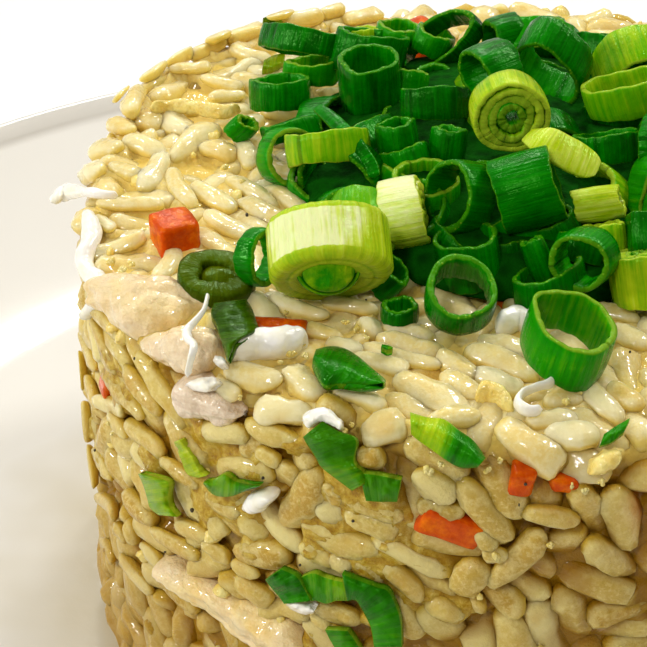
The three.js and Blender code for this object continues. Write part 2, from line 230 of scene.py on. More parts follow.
def make_object(name, verts, faces, material, **attributes):
    """An object from millimetre vertices, a list of face arrays of one size each, and three
    values a point for each attribute."""
    mesh = bpy.data.meshes.new(name)
    verts = np.asarray(verts, float).reshape(-1, 3)
    blocks = [np.asarray(block) for block in faces if len(block)]
    loops = np.concatenate([block.ravel() for block in blocks])
    sizes = np.concatenate([np.full(len(block), block.shape[1]) for block in blocks])
    starts = np.concatenate([[0], np.cumsum(sizes)[:-1]])
    mesh.vertices.add(len(verts))
    mesh.vertices.foreach_set("co", (verts * MM).ravel())
    mesh.loops.add(len(loops))
    mesh.loops.foreach_set("vertex_index", loops.astype(np.int32))
    mesh.polygons.add(len(sizes))
    mesh.polygons.foreach_set("loop_start", starts.astype(np.int32))
    mesh.polygons.foreach_set("loop_total", sizes.astype(np.int32))
    mesh.polygons.foreach_set("use_smooth", np.full(len(sizes), True))
    for label, values in attributes.items():
        layer = mesh.attributes.new(label, "FLOAT_VECTOR", "POINT")
        layer.data.foreach_set("vector", np.asarray(values, float).reshape(-1, 3).ravel())
    mesh.update(calc_edges=True)
    mesh.validate()
    mesh.materials.append(material)
    piece = bpy.data.objects.new(name, mesh)
    bpy.context.scene.collection.objects.link(piece)
    return piece


class Batch:
    """Many small forms gathered into one mesh."""

    def __init__(self):
        self.verts, self.tris, self.quads, self.marks, self.looks = [], [], [], [], []
        self.count = 0

    def add(self, verts, tris=(), quads=(), mark=(0, 0, 0), look=(0, 0, 0)):
        n = len(verts)
        self.verts.append(verts)
        for faces, more in ((self.tris, tris), (self.quads, quads)):
            if len(more):
                faces.append(np.asarray(more) + self.count)
        self.marks.append(np.broadcast_to(mark, (n, 3)))
        self.looks.append(np.broadcast_to(look, (n, 3)))
        self.count += n

    def build(self, name, material):
        faces = [np.concatenate(blocks) for blocks in (self.tris, self.quads) if blocks]
        return make_object(name, np.concatenate(self.verts), faces, material,
                           mark=np.concatenate(self.marks), look=np.concatenate(self.looks))


def tube_faces(rings, sides):
    """Quads and end triangles of a tube: rings of `sides` points, then its two pole points."""
    i = np.arange(rings - 1)[:, None] * sides
    j = np.arange(sides)
    after = (j + 1) % sides
    quads = np.stack([i + j, i + after, i + sides + after, i + sides + j], -1).reshape(-1, 4)
    first, last, tail = rings * sides, rings * sides + 1, (rings - 1) * sides
    start = np.stack([np.full(sides, first), after, j], -1)
    end = np.stack([np.full(sides, last), tail + j, tail + after], -1)
    return quads, np.concatenate([start, end])


def ball(levels):
    """Points and triangles of a unit icosphere."""
    g = (1 + 5 ** 0.5) / 2
    points = unit([(-1, g, 0), (1, g, 0), (-1, -g, 0), (1, -g, 0), (0, -1, g), (0, 1, g),
                   (0, -1, -g), (0, 1, -g), (g, 0, -1), (g, 0, 1), (-g, 0, -1), (-g, 0, 1)])
    tris = [(0, 11, 5), (0, 5, 1), (0, 1, 7), (0, 7, 10), (0, 10, 11), (1, 5, 9), (5, 11, 4),
            (11, 10, 2), (10, 7, 6), (7, 1, 8), (3, 9, 4), (3, 4, 2), (3, 2, 6), (3, 6, 8),
            (3, 8, 9), (4, 9, 5), (2, 4, 11), (6, 2, 10), (8, 6, 7), (9, 8, 1)]
    points = [tuple(p) for p in points]
    for _ in range(levels):
        middle, finer = {}, []

        def between(a, b):
            key = (min(a, b), max(a, b))
            if key not in middle:
                middle[key] = len(points)
                points.append(tuple(unit(np.add(points[a], points[b]))))
            return middle[key]

        for a, b, c in tris:
            ab, bc, ca = between(a, b), between(b, c), between(c, a)
            finer += [(a, ab, ca), (b, bc, ab), (c, ca, bc), (ab, bc, ca)]
        tris = finer
    return np.array(points), np.array(tris)


# ------------------------------------------------------------------ materials


# Colours are linear red, green and blue. A ramp's stops are (place along it, colour).
# The thin sauce colour tints deep places on top: partly sauce, partly painted shade.
THIN_SAUCE_AND_SHADE = (0.78, 0.56, 0.12)
SAUCE_STAIN = (0.66, 0.42, 0.07)
DEEP_PASTE_AND_SHADE = (0.31, 0.155, 0.001)
# Painted shade towards the foot of the mound.
FOOT_SHADE = dict(starts=34, full=3, most=0.75)  # heights over the plate's well, and its share
# The rice on top: wet, and painted lighter than the side's, as if lit from above.
WET_RICE_PAINTED_LIGHT = dict(
    body=((0.0, (0.78, 0.58, 0.19)), (0.4, (0.81, 0.63, 0.25)), (0.75, (0.83, 0.68, 0.31)),
          (1.0, (0.88, 0.77, 0.43))),
    milk=(0.89, 0.77, 0.43), turned_away=(0.80, 0.58, 0.13), sauce=THIN_SAUCE_AND_SHADE, runs_down=False,
    crumbs=(0.8, 3.0, 0.6), relief=0.12, gloss=(0.22, 0.38), coat=0.7,
    glow=(0.65, (1.0, 0.94, 0.84), 3.0))
# The rice on the side and below: painted darker than the top's, as shade.
SIDE_RICE_PAINTED_SHADE = dict(
    body=((0.0, (0.50, 0.315, 0.035)), (0.35, (0.58, 0.41, 0.08)), (0.75, (0.67, 0.515, 0.135)),
          (1.0, (0.82, 0.70, 0.30))),
    milk=(0.82, 0.69, 0.28), turned_away=(0.58, 0.38, 0.025), sauce=(0.34, 0.165, 0.002),
    runs_down=True, crumbs=(0.55, 4.0, 0.65), relief=0.22, gloss=(0.34, 0.50), coat=0.5,
    glow=(0.5, (1.0, 0.94, 0.82), 2.2))
YOLK_LOOK = dict(low=(0.80, 0.55, 0.06), high=(0.93, 0.80, 0.28), crumb=0.25)
WHITE_LOOK = dict(low=(0.98, 0.95, 0.76), high=(0.99, 0.98, 0.92), crumb=0.05)


class Nodes:
    """A short way to write the nodes of a material or a world."""

    def __init__(self, owner):
        owner.use_nodes = True
        self.owner, self.tree = owner, owner.node_tree
        # the piece's own coordinates, in millimetres
        metres = self.node("TexCoord").outputs["Object"]
        self.place = self.node("VectorMath", (metres, (1 / MM, 1 / MM, 1 / MM)),
                               operation="MULTIPLY").outputs[0]

    def put(self, node, socket, value):
        target = node.inputs[socket]
        if isinstance(value, bpy.types.NodeSocket):
            self.tree.links.new(value, target)
        elif target.type == "RGBA":
            target.default_value = (*value, 1.0)
        else:
            target.default_value = value

    def node(self, kind, sockets=(), **settings):
        """A new node with its settings and what goes into its sockets, in order or by name."""
        node = self.tree.nodes.new("ShaderNode" + kind)
        for name, setting in settings.items():
            setattr(node, name, setting)
        for socket, value in sockets.items() if isinstance(sockets, dict) else enumerate(sockets):
            self.put(node, socket, value)
        return node

    def split(self, vector):
        return tuple(self.node("SeparateXYZ", (vector,)).outputs)

    def values(self, name):
        """The three values of an attribute."""
        return self.split(self.node("Attribute", attribute_name=name).outputs["Vector"])

    def join(self, x, y, z):
        return self.node("CombineXYZ", (x, y, z)).outputs[0]

    def math(self, kind, *values, clamp=False):
        return self.node("Math", values, operation=kind, use_clamp=clamp).outputs[0]

    def add(self, a, b):
        return self.math("ADD", a, b)

    def share(self, a, b):
        """The sum, kept within 0..1."""
        return self.math("ADD", a, b, clamp=True)

    def times(self, a, b):
        return self.math("MULTIPLY", a, b)

    def noise(self, size, detail=2.0, roughness=0.5, at=None):
        """Noise in 0..1 with features about `size` mm across."""
        at = self.place if at is None else at
        return self.node("TexNoise", {"Vector": at, "Scale": 1.0 / size, "Detail": detail,
                                      "Roughness": roughness}).outputs["Fac"]

    def cells(self, size):
        """How far the nearest of some loose points is, in shares of `size` mm."""
        sockets = {"Vector": self.place, "Scale": 1.0 / size}
        return self.node("TexVoronoi", sockets).outputs["Distance"]

    def span(self, value, low, high, to_low=0.0, to_high=1.0):
        """The value from low to high as one from to_low to to_high, and no further."""
        return self.node("MapRange", (value, low, high, to_low, to_high)).outputs[0]

    def ramp(self, value, *stops):
        node = self.node("ValToRGB", (value,))
        elements = node.color_ramp.elements
        while len(elements) < len(stops):
            elements.new(0.5)
        for element, (at, colour) in zip(elements, stops):
            element.position = at
            element.color = (*colour, 1.0)
        return node.outputs[0]

    def mix(self, share, a, b):
        return self.node("Mix", {0: share, 6: a, 7: b}, data_type="RGBA").outputs[2]

    def bump(self, height, depth, under=None):
        """Relief `depth` mm deep, on top of what is under it."""
        node = self.node("Bump", {"Height": height, "Distance": depth * MM})
        if under is not None:
            self.put(node, "Normal", under)
        return node.outputs[0]

    def shade(self, **sockets):
        for name, value in sockets.items():
            self.put(self.tree.nodes["Principled BSDF"], name.replace("_", " "), value)

    def scatter(self, weight, radius, scale):
        """Light that spreads below the surface: radius by colour, times scale in mm."""
        self.tree.nodes["Principled BSDF"].subsurface_method = "RANDOM_WALK"
        self.shade(Subsurface_Weight=weight, Subsurface_Radius=radius,
                   Subsurface_Scale=scale * MM)

    def coat(self, weight, roughness, ripple=None):
        """A wet film, with ripples that catch the light."""
        self.shade(Coat_Weight=weight, Coat_Roughness=roughness)
        if ripple is not None:
            self.shade(Coat_Normal=self.bump(self.noise(0.8, 1.0), ripple))


def new_material(name):
    return Nodes(bpy.data.materials.new(name))


def foot_shade(n):
    """Painted shade: darker and browner towards the foot of the mound."""
    _, _, height = n.split(n.place)
    return n.span(height, WELL_TOP + FOOT_SHADE["starts"], WELL_TOP + FOOT_SHADE["full"], 0.0,
                  FOOT_SHADE["most"])


def rice_colour(n, look):
    """Glassy in the middle; paler along the edges, a painted rim light; darker on the flanks that
    turn in between the grains, painted shade; and golden brown where sauce ran in deep, partly
    sauce and partly painted shade.
    mark is (draw, 1 where it faces outwards, depth below the mould's surface in mm)."""
    draw, facing, depth = n.values("mark")
    milky = n.noise(1.1, 3.0, 0.65)
    # Painted rim light: paler along each grain's edges, with milky patches mixed in.
    edge = n.share(n.span(facing, 0.88, 0.50), n.span(milky, 0.40, 0.66, -0.45, 0.65))
    body = n.mix(n.times(edge, 0.6), n.ramp(draw, *look["body"]), look["milk"])
    body = n.mix(n.span(n.noise(0.4, 2.0, 0.6), 0.50, 0.66, 0.0, 0.45), body, look["milk"])
    # Painted shade: darker on the flanks that turn in between the grains.
    body = n.mix(n.span(facing, 0.45, 0.10, 0.0, 0.9), body, look["turned_away"])
    clouds = n.noise(3.4)
    body = n.mix(n.span(clouds, 0.52, 0.75, 0.0, 0.5), body, SAUCE_STAIN)
    # Golden brown where it lies deep: partly sauce, partly painted shade.
    sauce = n.share(n.span(depth, 0.7, 1.7), n.span(clouds, 0.3, 0.8, -0.2, 0.2))
    # The side's rice gets the painted shade towards the mound's foot.
    if look["runs_down"]:
        sauce = n.math("MAXIMUM", sauce, foot_shade(n))
    return n.mix(sauce, body, look["sauce"])


def rice_material(name, look):
    n = new_material(name)
    n.shade(Base_Color=rice_colour(n, look), Specular_IOR_Level=0.15,
            Roughness=n.span(n.noise(1.6), 0.35, 0.65, *look["gloss"]),
            Normal=n.bump(n.noise(*look["crumbs"]), look["relief"]))
    n.scatter(*look["glow"])
    n.coat(look["coat"], 0.05, 0.09)
    return n.owner


def filling_material():
    """The starchy paste between the grains, of their colour and soy-brown where it lies deep, there
    partly sauce and partly painted shade; on the side it is painted darker than on top, as shade.
    mark is (0, 1 on top of the mound, depth below the mould's surface in mm)."""
    n = new_material("rice_filling")
    _, top, depth = n.values("mark")
    patches = n.noise(2.2, 4.0, 0.6)
    mottle = n.noise(1.0, 5.0, 0.7)
    # low is the side's paste, painted darker as shade; high is the top's.
    low = n.ramp(mottle, (0.32, (0.30, 0.14, 0.002)), (0.44, (0.46, 0.28, 0.012)),
                 (0.56, (0.60, 0.42, 0.055)), (0.70, (0.80, 0.67, 0.22)))
    high = n.ramp(patches, (0.3, (0.80, 0.55, 0.12)), (0.5, (0.87, 0.68, 0.22)),
                  (0.66, (0.95, 0.82, 0.42)), (0.78, (0.97, 0.90, 0.62)))
    # Darker where deep: partly sauce, partly painted shade.
    deep = n.share(n.span(depth, 0.6, 1.2), n.span(patches, 0.3, 0.75, 0.12, -0.12))
    # The paste gets the painted shade towards the mound's foot.
    deep = n.math("MAXIMUM", deep, foot_shade(n))
    colour = n.mix(deep, n.mix(top, low, high), n.mix(top, DEEP_PASTE_AND_SHADE, THIN_SAUCE_AND_SHADE))
    roughness = n.add(n.span(patches, 0.3, 0.7, 0.22, 0.40), n.times(deep, 0.3))
    n.shade(Base_Color=colour, Roughness=roughness, Normal=n.bump(mottle, 0.30),
            Specular_IOR_Level=0.15)
    n.scatter(0.45, (1.0, 0.93, 0.78), 1.2)
    n.coat(0.3, 0.06, 0.10)
    return n.owner


def leaf_material():
    """Spring onion. mark is (mm across the veins, mm along them, 1 on a cut face);
    look is (tone from dark green 0 to white 1, 1 on the inner side, 1 if cooked)."""
    n = new_material("spring_onion")
    across, along, cut = n.values("mark")
    tone, inner, cooked = n.values("look")
    veins = n.noise(0.42, 3.0, 0.6, n.join(across, n.times(along, 0.06), tone))
    patches = n.noise(2.2)
    shade = n.add(tone, n.span(veins, 0.3, 0.7, -0.08, 0.08))
    shade = n.add(shade, n.span(patches, 0.3, 0.7, -0.06, 0.07))
    shade = n.add(shade, n.times(inner, 0.09))
    skin = n.ramp(shade, (0.0, (0.0004, 0.080, 0.0001)), (0.16, (0.0008, 0.19, 0.0002)),
                  (0.34, (0.012, 0.29, 0.0004)), (0.55, (0.14, 0.42, 0.001)),
                  (0.75, (0.46, 0.62, 0.01)), (0.88, (0.64, 0.78, 0.10)),
                  (1.0, (0.86, 0.93, 0.46)))
    olive = n.ramp(shade, (0.0, (0.022, 0.045, 0.0003)), (0.3, (0.075, 0.115, 0.0006)),
                   (0.7, (0.28, 0.32, 0.003)), (1.0, (0.60, 0.58, 0.06)))
    # Painted highlights: small light dots on the cut faces.
    glint_dots = n.span(n.cells(0.42), 0.12, 0.3, 1.0, 0.0)
    pale = n.span(tone, 0.1, 0.9)
    face = n.mix(pale, (0.035, 0.22, 0.001), (0.60, 0.74, 0.04))
    face = n.mix(n.times(glint_dots, 0.45), face, (0.40, 0.60, 0.04))
    soft_face = n.mix(pale, (0.07, 0.11, 0.001), (0.34, 0.36, 0.01))
    colour = n.mix(cut, n.mix(cooked, skin, olive), n.mix(cooked, face, soft_face))
    n.shade(Base_Color=colour, Normal=n.bump(n.noise(0.35), 0.05, n.bump(veins, 0.16)),
            Roughness=n.span(patches, 0.3, 0.7, 0.14, 0.28), Specular_IOR_Level=0.26,
            Specular_Tint=(0.25, 1.0, 0.15))
    n.scatter(0.12, (0.35, 1.0, 0.10), 0.9)
    return n.owner


def shaded_scraps_material():
    """The dark inside of the heap, where bits of leaf lie on each other; its dark colour is partly
    painted shade between the slices.
    """
    n = new_material("spring_onion_scraps")
    colour = n.ramp(n.cells(1.6), (0.1, (0.0008, 0.035, 0.0003)), (0.6, (0.002, 0.075, 0.0005)))
    n.shade(Base_Color=colour, Roughness=0.9, Specular_IOR_Level=0.05,
            Normal=n.bump(n.noise(1.2, 3.0), 0.5))
    return n.owner


def carrot_material():
    n = new_material("carrot")
    colour = n.ramp(n.noise(1.6, 4.0, 0.6), (0.3, (0.50, 0.040, 0.0003)),
                    (0.5, (0.66, 0.080, 0.0004)), (0.7, (0.85, 0.20, 0.001)))
    n.shade(Base_Color=colour, Roughness=0.22, Specular_IOR_Level=0.3,
            Specular_Tint=(1.0, 0.60, 0.25),
            Normal=n.bump(n.noise(0.5, 3.0), 0.12, n.bump(n.noise(2.0, 1.0), 0.3)))
    n.scatter(0.25, (1.0, 0.35, 0.08), 1.0)
    return n.owner


def chicken_material():
    """mark is (mm across the fibres, mm along them, 0); look is (0, 1 on a pale torn face, 0)."""
    n = new_material("chicken")
    across, along, _ = n.values("mark")
    _, pale, _ = n.values("look")
    fibres = n.noise(0.55, 4.0, 0.65, n.join(across, n.times(along, 0.10), 0.0))
    colour = n.ramp(fibres, (0.25, (0.86, 0.66, 0.27)), (0.5, (0.89, 0.71, 0.33)),
                    (0.75, (0.93, 0.77, 0.42)))
    stain = n.span(n.noise(3.2, 3.0), 0.45, 0.70, 0.0, 0.8)
    colour = n.mix(stain, colour, (0.84, 0.56, 0.12))
    blush = n.span(n.noise(6.0), 0.45, 0.62, 0.0, 0.7)
    colour = n.mix(blush, colour, (0.93, 0.76, 0.52))
    torn = n.mix(n.span(fibres, 0.35, 0.65), (0.66, 0.50, 0.36), (0.86, 0.74, 0.58))
    n.shade(Base_Color=n.mix(pale, colour, torn), Roughness=0.34,
            Normal=n.bump(fibres, 0.16, n.bump(n.noise(0.9, 3.0, 0.6), 0.35)))
    n.scatter(0.4, (1.0, 0.85, 0.70), 0.7)
    n.coat(0.8, 0.05, 0.12)
    return n.owner


def egg_material(name, look):
    n = new_material(name)
    n.shade(Base_Color=n.ramp(n.noise(1.8, 4.0, 0.6), (0.3, look["low"]), (0.62, look["high"])),
            Normal=n.bump(n.noise(0.45, 3.0), look["crumb"], n.bump(n.noise(1.5), 0.2)),
            Roughness=0.26)
    n.scatter(0.3, (1.0, 0.95, 0.82), 0.5)
    n.coat(0.6, 0.06)
    return n.owner


def glaze_material():
    """White glaze, with painted brown shade round the foot of the mound, where the mound shades the
    plate.
    """
    n = new_material("glaze")
    wave = n.noise(22.0)
    pits = n.noise(0.6)
    colour = n.mix(n.span(wave, 0.3, 0.7), (0.765, 0.755, 0.715), (0.785, 0.775, 0.735))
    x, y, _ = n.split(n.place)
    flat = n.math("SQRT", n.add(n.times(x, x), n.times(y, y)))
    # Painted shade: the glaze turns brown near the mound's foot, where the mound shades it.
    spread = n.add(flat, n.span(n.noise(14.0), 0.3, 0.7, -4, 4))
    colour = n.mix(n.span(spread, 44, 61, 0.7, 0.0), colour, (0.50, 0.43, 0.24))
    n.shade(Base_Color=colour, Roughness=n.span(pits, 0.3, 0.7, 0.10, 0.16),
            Normal=n.bump(pits, 0.008, n.bump(wave, 0.10)))
    n.coat(0.5, 0.05)
    return n.owner


def pepper_material():
    n = new_material("pepper")
    colour = n.ramp(n.noise(0.25, 3.0), (0.3, (0.012, 0.008, 0.004)), (0.7, (0.07, 0.045, 0.015)))
    n.shade(Base_Color=colour, Roughness=0.5, Normal=n.bump(n.noise(0.2), 0.08))
    return n.owner


def floor_material():
    n = new_material("floor")
    n.shade(Base_Color=n.mix(n.noise(160.0), (0.86, 0.86, 0.85), (0.89, 0.89, 0.88)), Roughness=0.6)
    return n.owner


# ------------------------------------------------------------------ what is set in the rice
# Each row follows the middle of a piece through the picture: points as (x, y, width) in
# pixels, then thickness and height of its outer face over the mould's surface in millimetres.
STRIPS = {
    "egg_strip_left": ([(88, 212, 12), (90, 226, 20), (88, 242, 22), (85, 262, 14), (92, 282, 22),
                        (93, 296, 20), (86, 318, 9)], 1.5, 0.9),
    "egg_strip_out": ([(118, 198, 4), (106, 197, 7), (94, 195, 9), (84, 192, 12), (73, 191, 17),
                       (62, 193, 21), (54, 198, 12), (48, 201, 5)], 1.0, 1.0),
    "egg_strand": ([(208, 297, 5), (204, 308, 6), (193, 319, 6), (186, 329, 8), (188, 338, 8),
                    (195, 346, 7), (194, 357, 5), (188, 376, 3)], 0.7, 2.7),
    "egg_strand_right": ([(556, 370, 6), (551, 384, 8), (538, 389, 8), (523, 394, 8),
                          (518, 402, 9), (528, 409, 8), (542, 409, 5)], 1.1, 1.4),
    "egg_white_front": ([(228, 360, 8), (240, 351, 20), (256, 345, 28), (272, 345, 28),
                         (288, 343, 24), (300, 340, 16), (308, 340, 6)], 2.8, 1.7),
    "egg_flake_front": ([(304, 420, 8), (312, 416, 12), (324, 415, 13), (337, 421, 8)], 1.3, 1.0),
    "egg_flake_right": ([(498, 330, 8), (508, 322, 20), (521, 320, 20), (533, 330, 9)], 2.6, 1.6),
    "egg_lump_low": ([(246, 506, 9), (256, 503, 20), (268, 496, 15), (277, 494, 6)], 2.2, 1.1),
    "egg_yolk_back": ([(151, 110, 8), (168, 105, 12), (186, 106, 13), (206, 110, 15),
                       (224, 113, 12), (240, 111, 4)], 1.6, 1.3),
    "egg_yolk_rim": ([(476, 398, 8), (488, 394, 18), (500, 398, 18), (512, 408, 8)], 2.6, 1.2),
    "egg_yolk_right": ([(588, 474, 8), (599, 466, 20), (611, 459, 22), (620, 452, 10)], 2.6, 1.2),
}
EGG_CRUMBS = [(292, 352, 13), (303, 344, 10), (306, 356, 8), (281, 362, 7), (345, 322, 9),
              (357, 330, 12), (366, 338, 7), (352, 343, 6), (214, 330, 8), (206, 341, 6),
              (112, 262, 11), (122, 270, 12), (132, 264, 9), (118, 282, 8), (150, 362, 8),
              (108, 424, 6), (112, 434, 5), (345, 431, 8), (352, 424, 6), (428, 470, 12),
              (441, 464, 9), (488, 470, 8), (500, 461, 7), (585, 490, 10), (601, 482, 9),
              (572, 486, 7), (497, 556, 12), (480, 597, 9), (550, 545, 9), (199, 205, 5),
              (225, 167, 10), (243, 182, 6), (296, 300, 6), (286, 312, 7), (532, 352, 8),
              (566, 402, 10), (580, 392, 7), (240, 398, 6)]
CHICKEN = {
    "chicken_top": [([(102, 294, 26), (118, 300, 42), (142, 306, 56), (170, 308, 58),
                      (194, 310, 44), (212, 316, 24)], 4.6, 1.2, 0.15)],
    "chicken_rim": [([(146, 342, 22), (164, 346, 40), (186, 350, 50), (206, 354, 44),
                      (222, 358, 26)], 4.4, 0.9, 0.3),
                    ([(184, 390, 14), (200, 396, 28), (222, 404, 34), (246, 414, 22)],
                     3.6, 0.9, 0.9)],
    "chicken_low": [([(168, 554, 6), (190, 574, 22), (214, 594, 38), (244, 614, 48),
                      (276, 632, 50), (310, 650, 44)], 4.6, 0.8, 0.0)],
}
# Flat pieces of leaf. Each row has a point of one edge and a point of the other, in pixels; then
# height of the outer face over the mould's surface and bow in mm, tone at both ends, 1 if cooked.
LEAVES = {
    "onion_cooked_leaf": [([(214, 303, 246, 299), (211, 313, 252, 308), (216, 324, 256, 320),
                            (220, 337, 258, 331), (222, 344, 240, 341), (225, 354, 233, 352),
                            (227, 361, 229, 360)], 1.8, 0.8, 0.06, 0.14, 0.8)],
    "onion_leaf_rim": [([(312, 361, 316, 349), (316, 372, 330, 346), (324, 385, 344, 348),
                         (340, 384, 358, 356), (355, 386, 372, 368), (370, 386, 384, 378),
                         (382, 384, 386, 381)], 1.6, 1.0, 0.10, 0.22, 0.15)],
    "onion_bright_rim": [([(411, 434, 410, 412), (419, 441, 427, 417), (433, 451, 444, 419),
                           (447, 461, 459, 430), (461, 468, 474, 441), (477, 468, 486, 458)],
                          1.3, 1.1, 0.66, 0.12, 0.15)],
    "onion_front": [([(303, 437, 322, 421), (306, 443, 338, 431), (314, 455, 356, 439),
                      (321, 467, 354, 461), (336, 479, 361, 470), (352, 491, 373, 479)],
                     1.0, 0.5, 0.20, 0.38, 0.45),
                    ([(366, 501, 359, 473), (380, 502, 378, 475), (397, 502, 401, 480)],
                     1.1, 0.3, 0.26, 0.32, 0.45)],
    "onion_left": [([(138, 474, 141, 473), (143, 485, 168, 482), (147, 498, 168, 496),
                     (150, 508, 170, 507), (158, 515, 177, 517)], 0.9, 0.3, 0.58, 0.60, 0.45)],
    "onion_middle": [([(203, 484, 204, 481), (212, 494, 214, 479), (222, 497, 224, 474),
                       (233, 496, 235, 481), (246, 491, 248, 484), (259, 487, 260, 485)],
                      1.0, 0.4, 0.46, 0.22, 0.40)],
    "onion_curved": [([(265, 580, 281, 569), (272, 589, 296, 576), (279, 597, 304, 588),
                       (284, 604, 311, 601)], 1.2, 0.3, 0.14, 0.18, 0.25),
                     ([(306, 602, 301, 577), (316, 601, 313, 573), (326, 604, 324, 577),
                       (336, 601, 334, 580), (347, 601, 343, 582)], 0.8, 0.3, 0.34, 0.46, 0.35),
                     ([(347, 601, 342, 574), (353, 600, 358, 580), (357, 602, 374, 586),
                       (362, 610, 388, 591), (367, 619, 396, 606), (371, 629, 401, 623),
                       (374, 648, 402, 648)], 1.4, 0.5, 0.12, 0.28, 0.25)],
}
LEAF_BITS = [([(174, 442, 180, 440), (181, 460, 191, 455), (187, 474, 198, 469),
               (198, 478, 206, 476)], 0.5, 0.1, 0.74, 0.70, 0.5),
             ([(325, 630, 348, 631), (330, 640, 354, 639), (336, 650, 361, 650)],
              0.9, 0.3, 0.28, 0.32, 0.35),
             ([(600, 446, 604, 434), (612, 442, 616, 426), (624, 432, 630, 418)],
              0.9, 0.3, 0.20, 0.26, 0.2),
             ([(262, 26, 263, 18), (271, 25, 273, 14), (281, 22, 282, 15)],
              0.8, 0.2, 0.45, 0.5, 0.6),
             ([(262, 70, 264, 60), (272, 68, 274, 55), (284, 62, 285, 53)],
              1.0, 0.2, 0.6, 0.6, 0.7),
             ([(381, 347, 382, 344), (387, 350, 388, 345), (392, 349, 393, 347)],
              0.9, 0.2, 0.2, 0.4, 0.2)]
# Flat flakes of egg white, as the leaves.
EGG_FLAKES = [([(184, 386, 190, 380), (194, 390, 203, 378), (206, 392, 213, 377),
                (215, 387, 217, 380)], 1.0, 0.5),
              ([(286, 605, 289, 602), (293, 611, 300, 602), (304, 615, 309, 606),
                (313, 614, 314, 610)], 1.0, 0.6),
              ([(213, 361, 215, 356), (218, 366, 222, 357), (224, 366, 226, 360)], 1.1, 0.5),
              ([(303, 424, 305, 414), (308, 428, 314, 409), (318, 422, 323, 407),
                (330, 424, 333, 412), (340, 430, 341, 419)], 1.2, 0.6)]
PEPPER = [(245, 120, 5), (247, 215, 3.5), (192, 510, 4), (165, 552, 3), (263, 478, 3.5),
          (353, 521, 3.5), (300, 565, 2.5), (519, 505, 3), (630, 352, 3), (366, 300, 3)]

# Carrot dice as on the mound: 'top' at x, y or 'side' at azimuth and depth below the top, then
# height over the bare rice, turn about the outward direction, and length, width, thickness.
DICE = {
    "carrot_top": ("top", (-33.8, -12.9), 1.0, 28, (4.0, 3.7, 3.9)),
    "carrot_by_stem": ("top", (-24.2, -28), -0.4, -12, (5.4, 3.2, 3.2)),
    "carrot_shade": ("top", (-2.2, -20), -0.9, 20, (6.0, 4.6, 3.6)),
    "carrot_back": ("top", (-9, 31), 0.6, 50, (5.0, 4.4, 4.0)),
    "carrot_low": ("side", (-101.9, 9), -0.7, -30, (5.4, 2.9, 3.2)),
    "carrot_rim": ("side", (-94.9, 3.6), -0.7, 84, (2.7, 2.0, 2.6)),
    "carrot_right": ("side", (-90.6, 4.0), -0.8, 10, (2.2, 1.6, 2.2)),
    "carrot_left": ("side", (-155.9, 12.9), -0.6, 75, (3.0, 2.2, 2.4)),
}

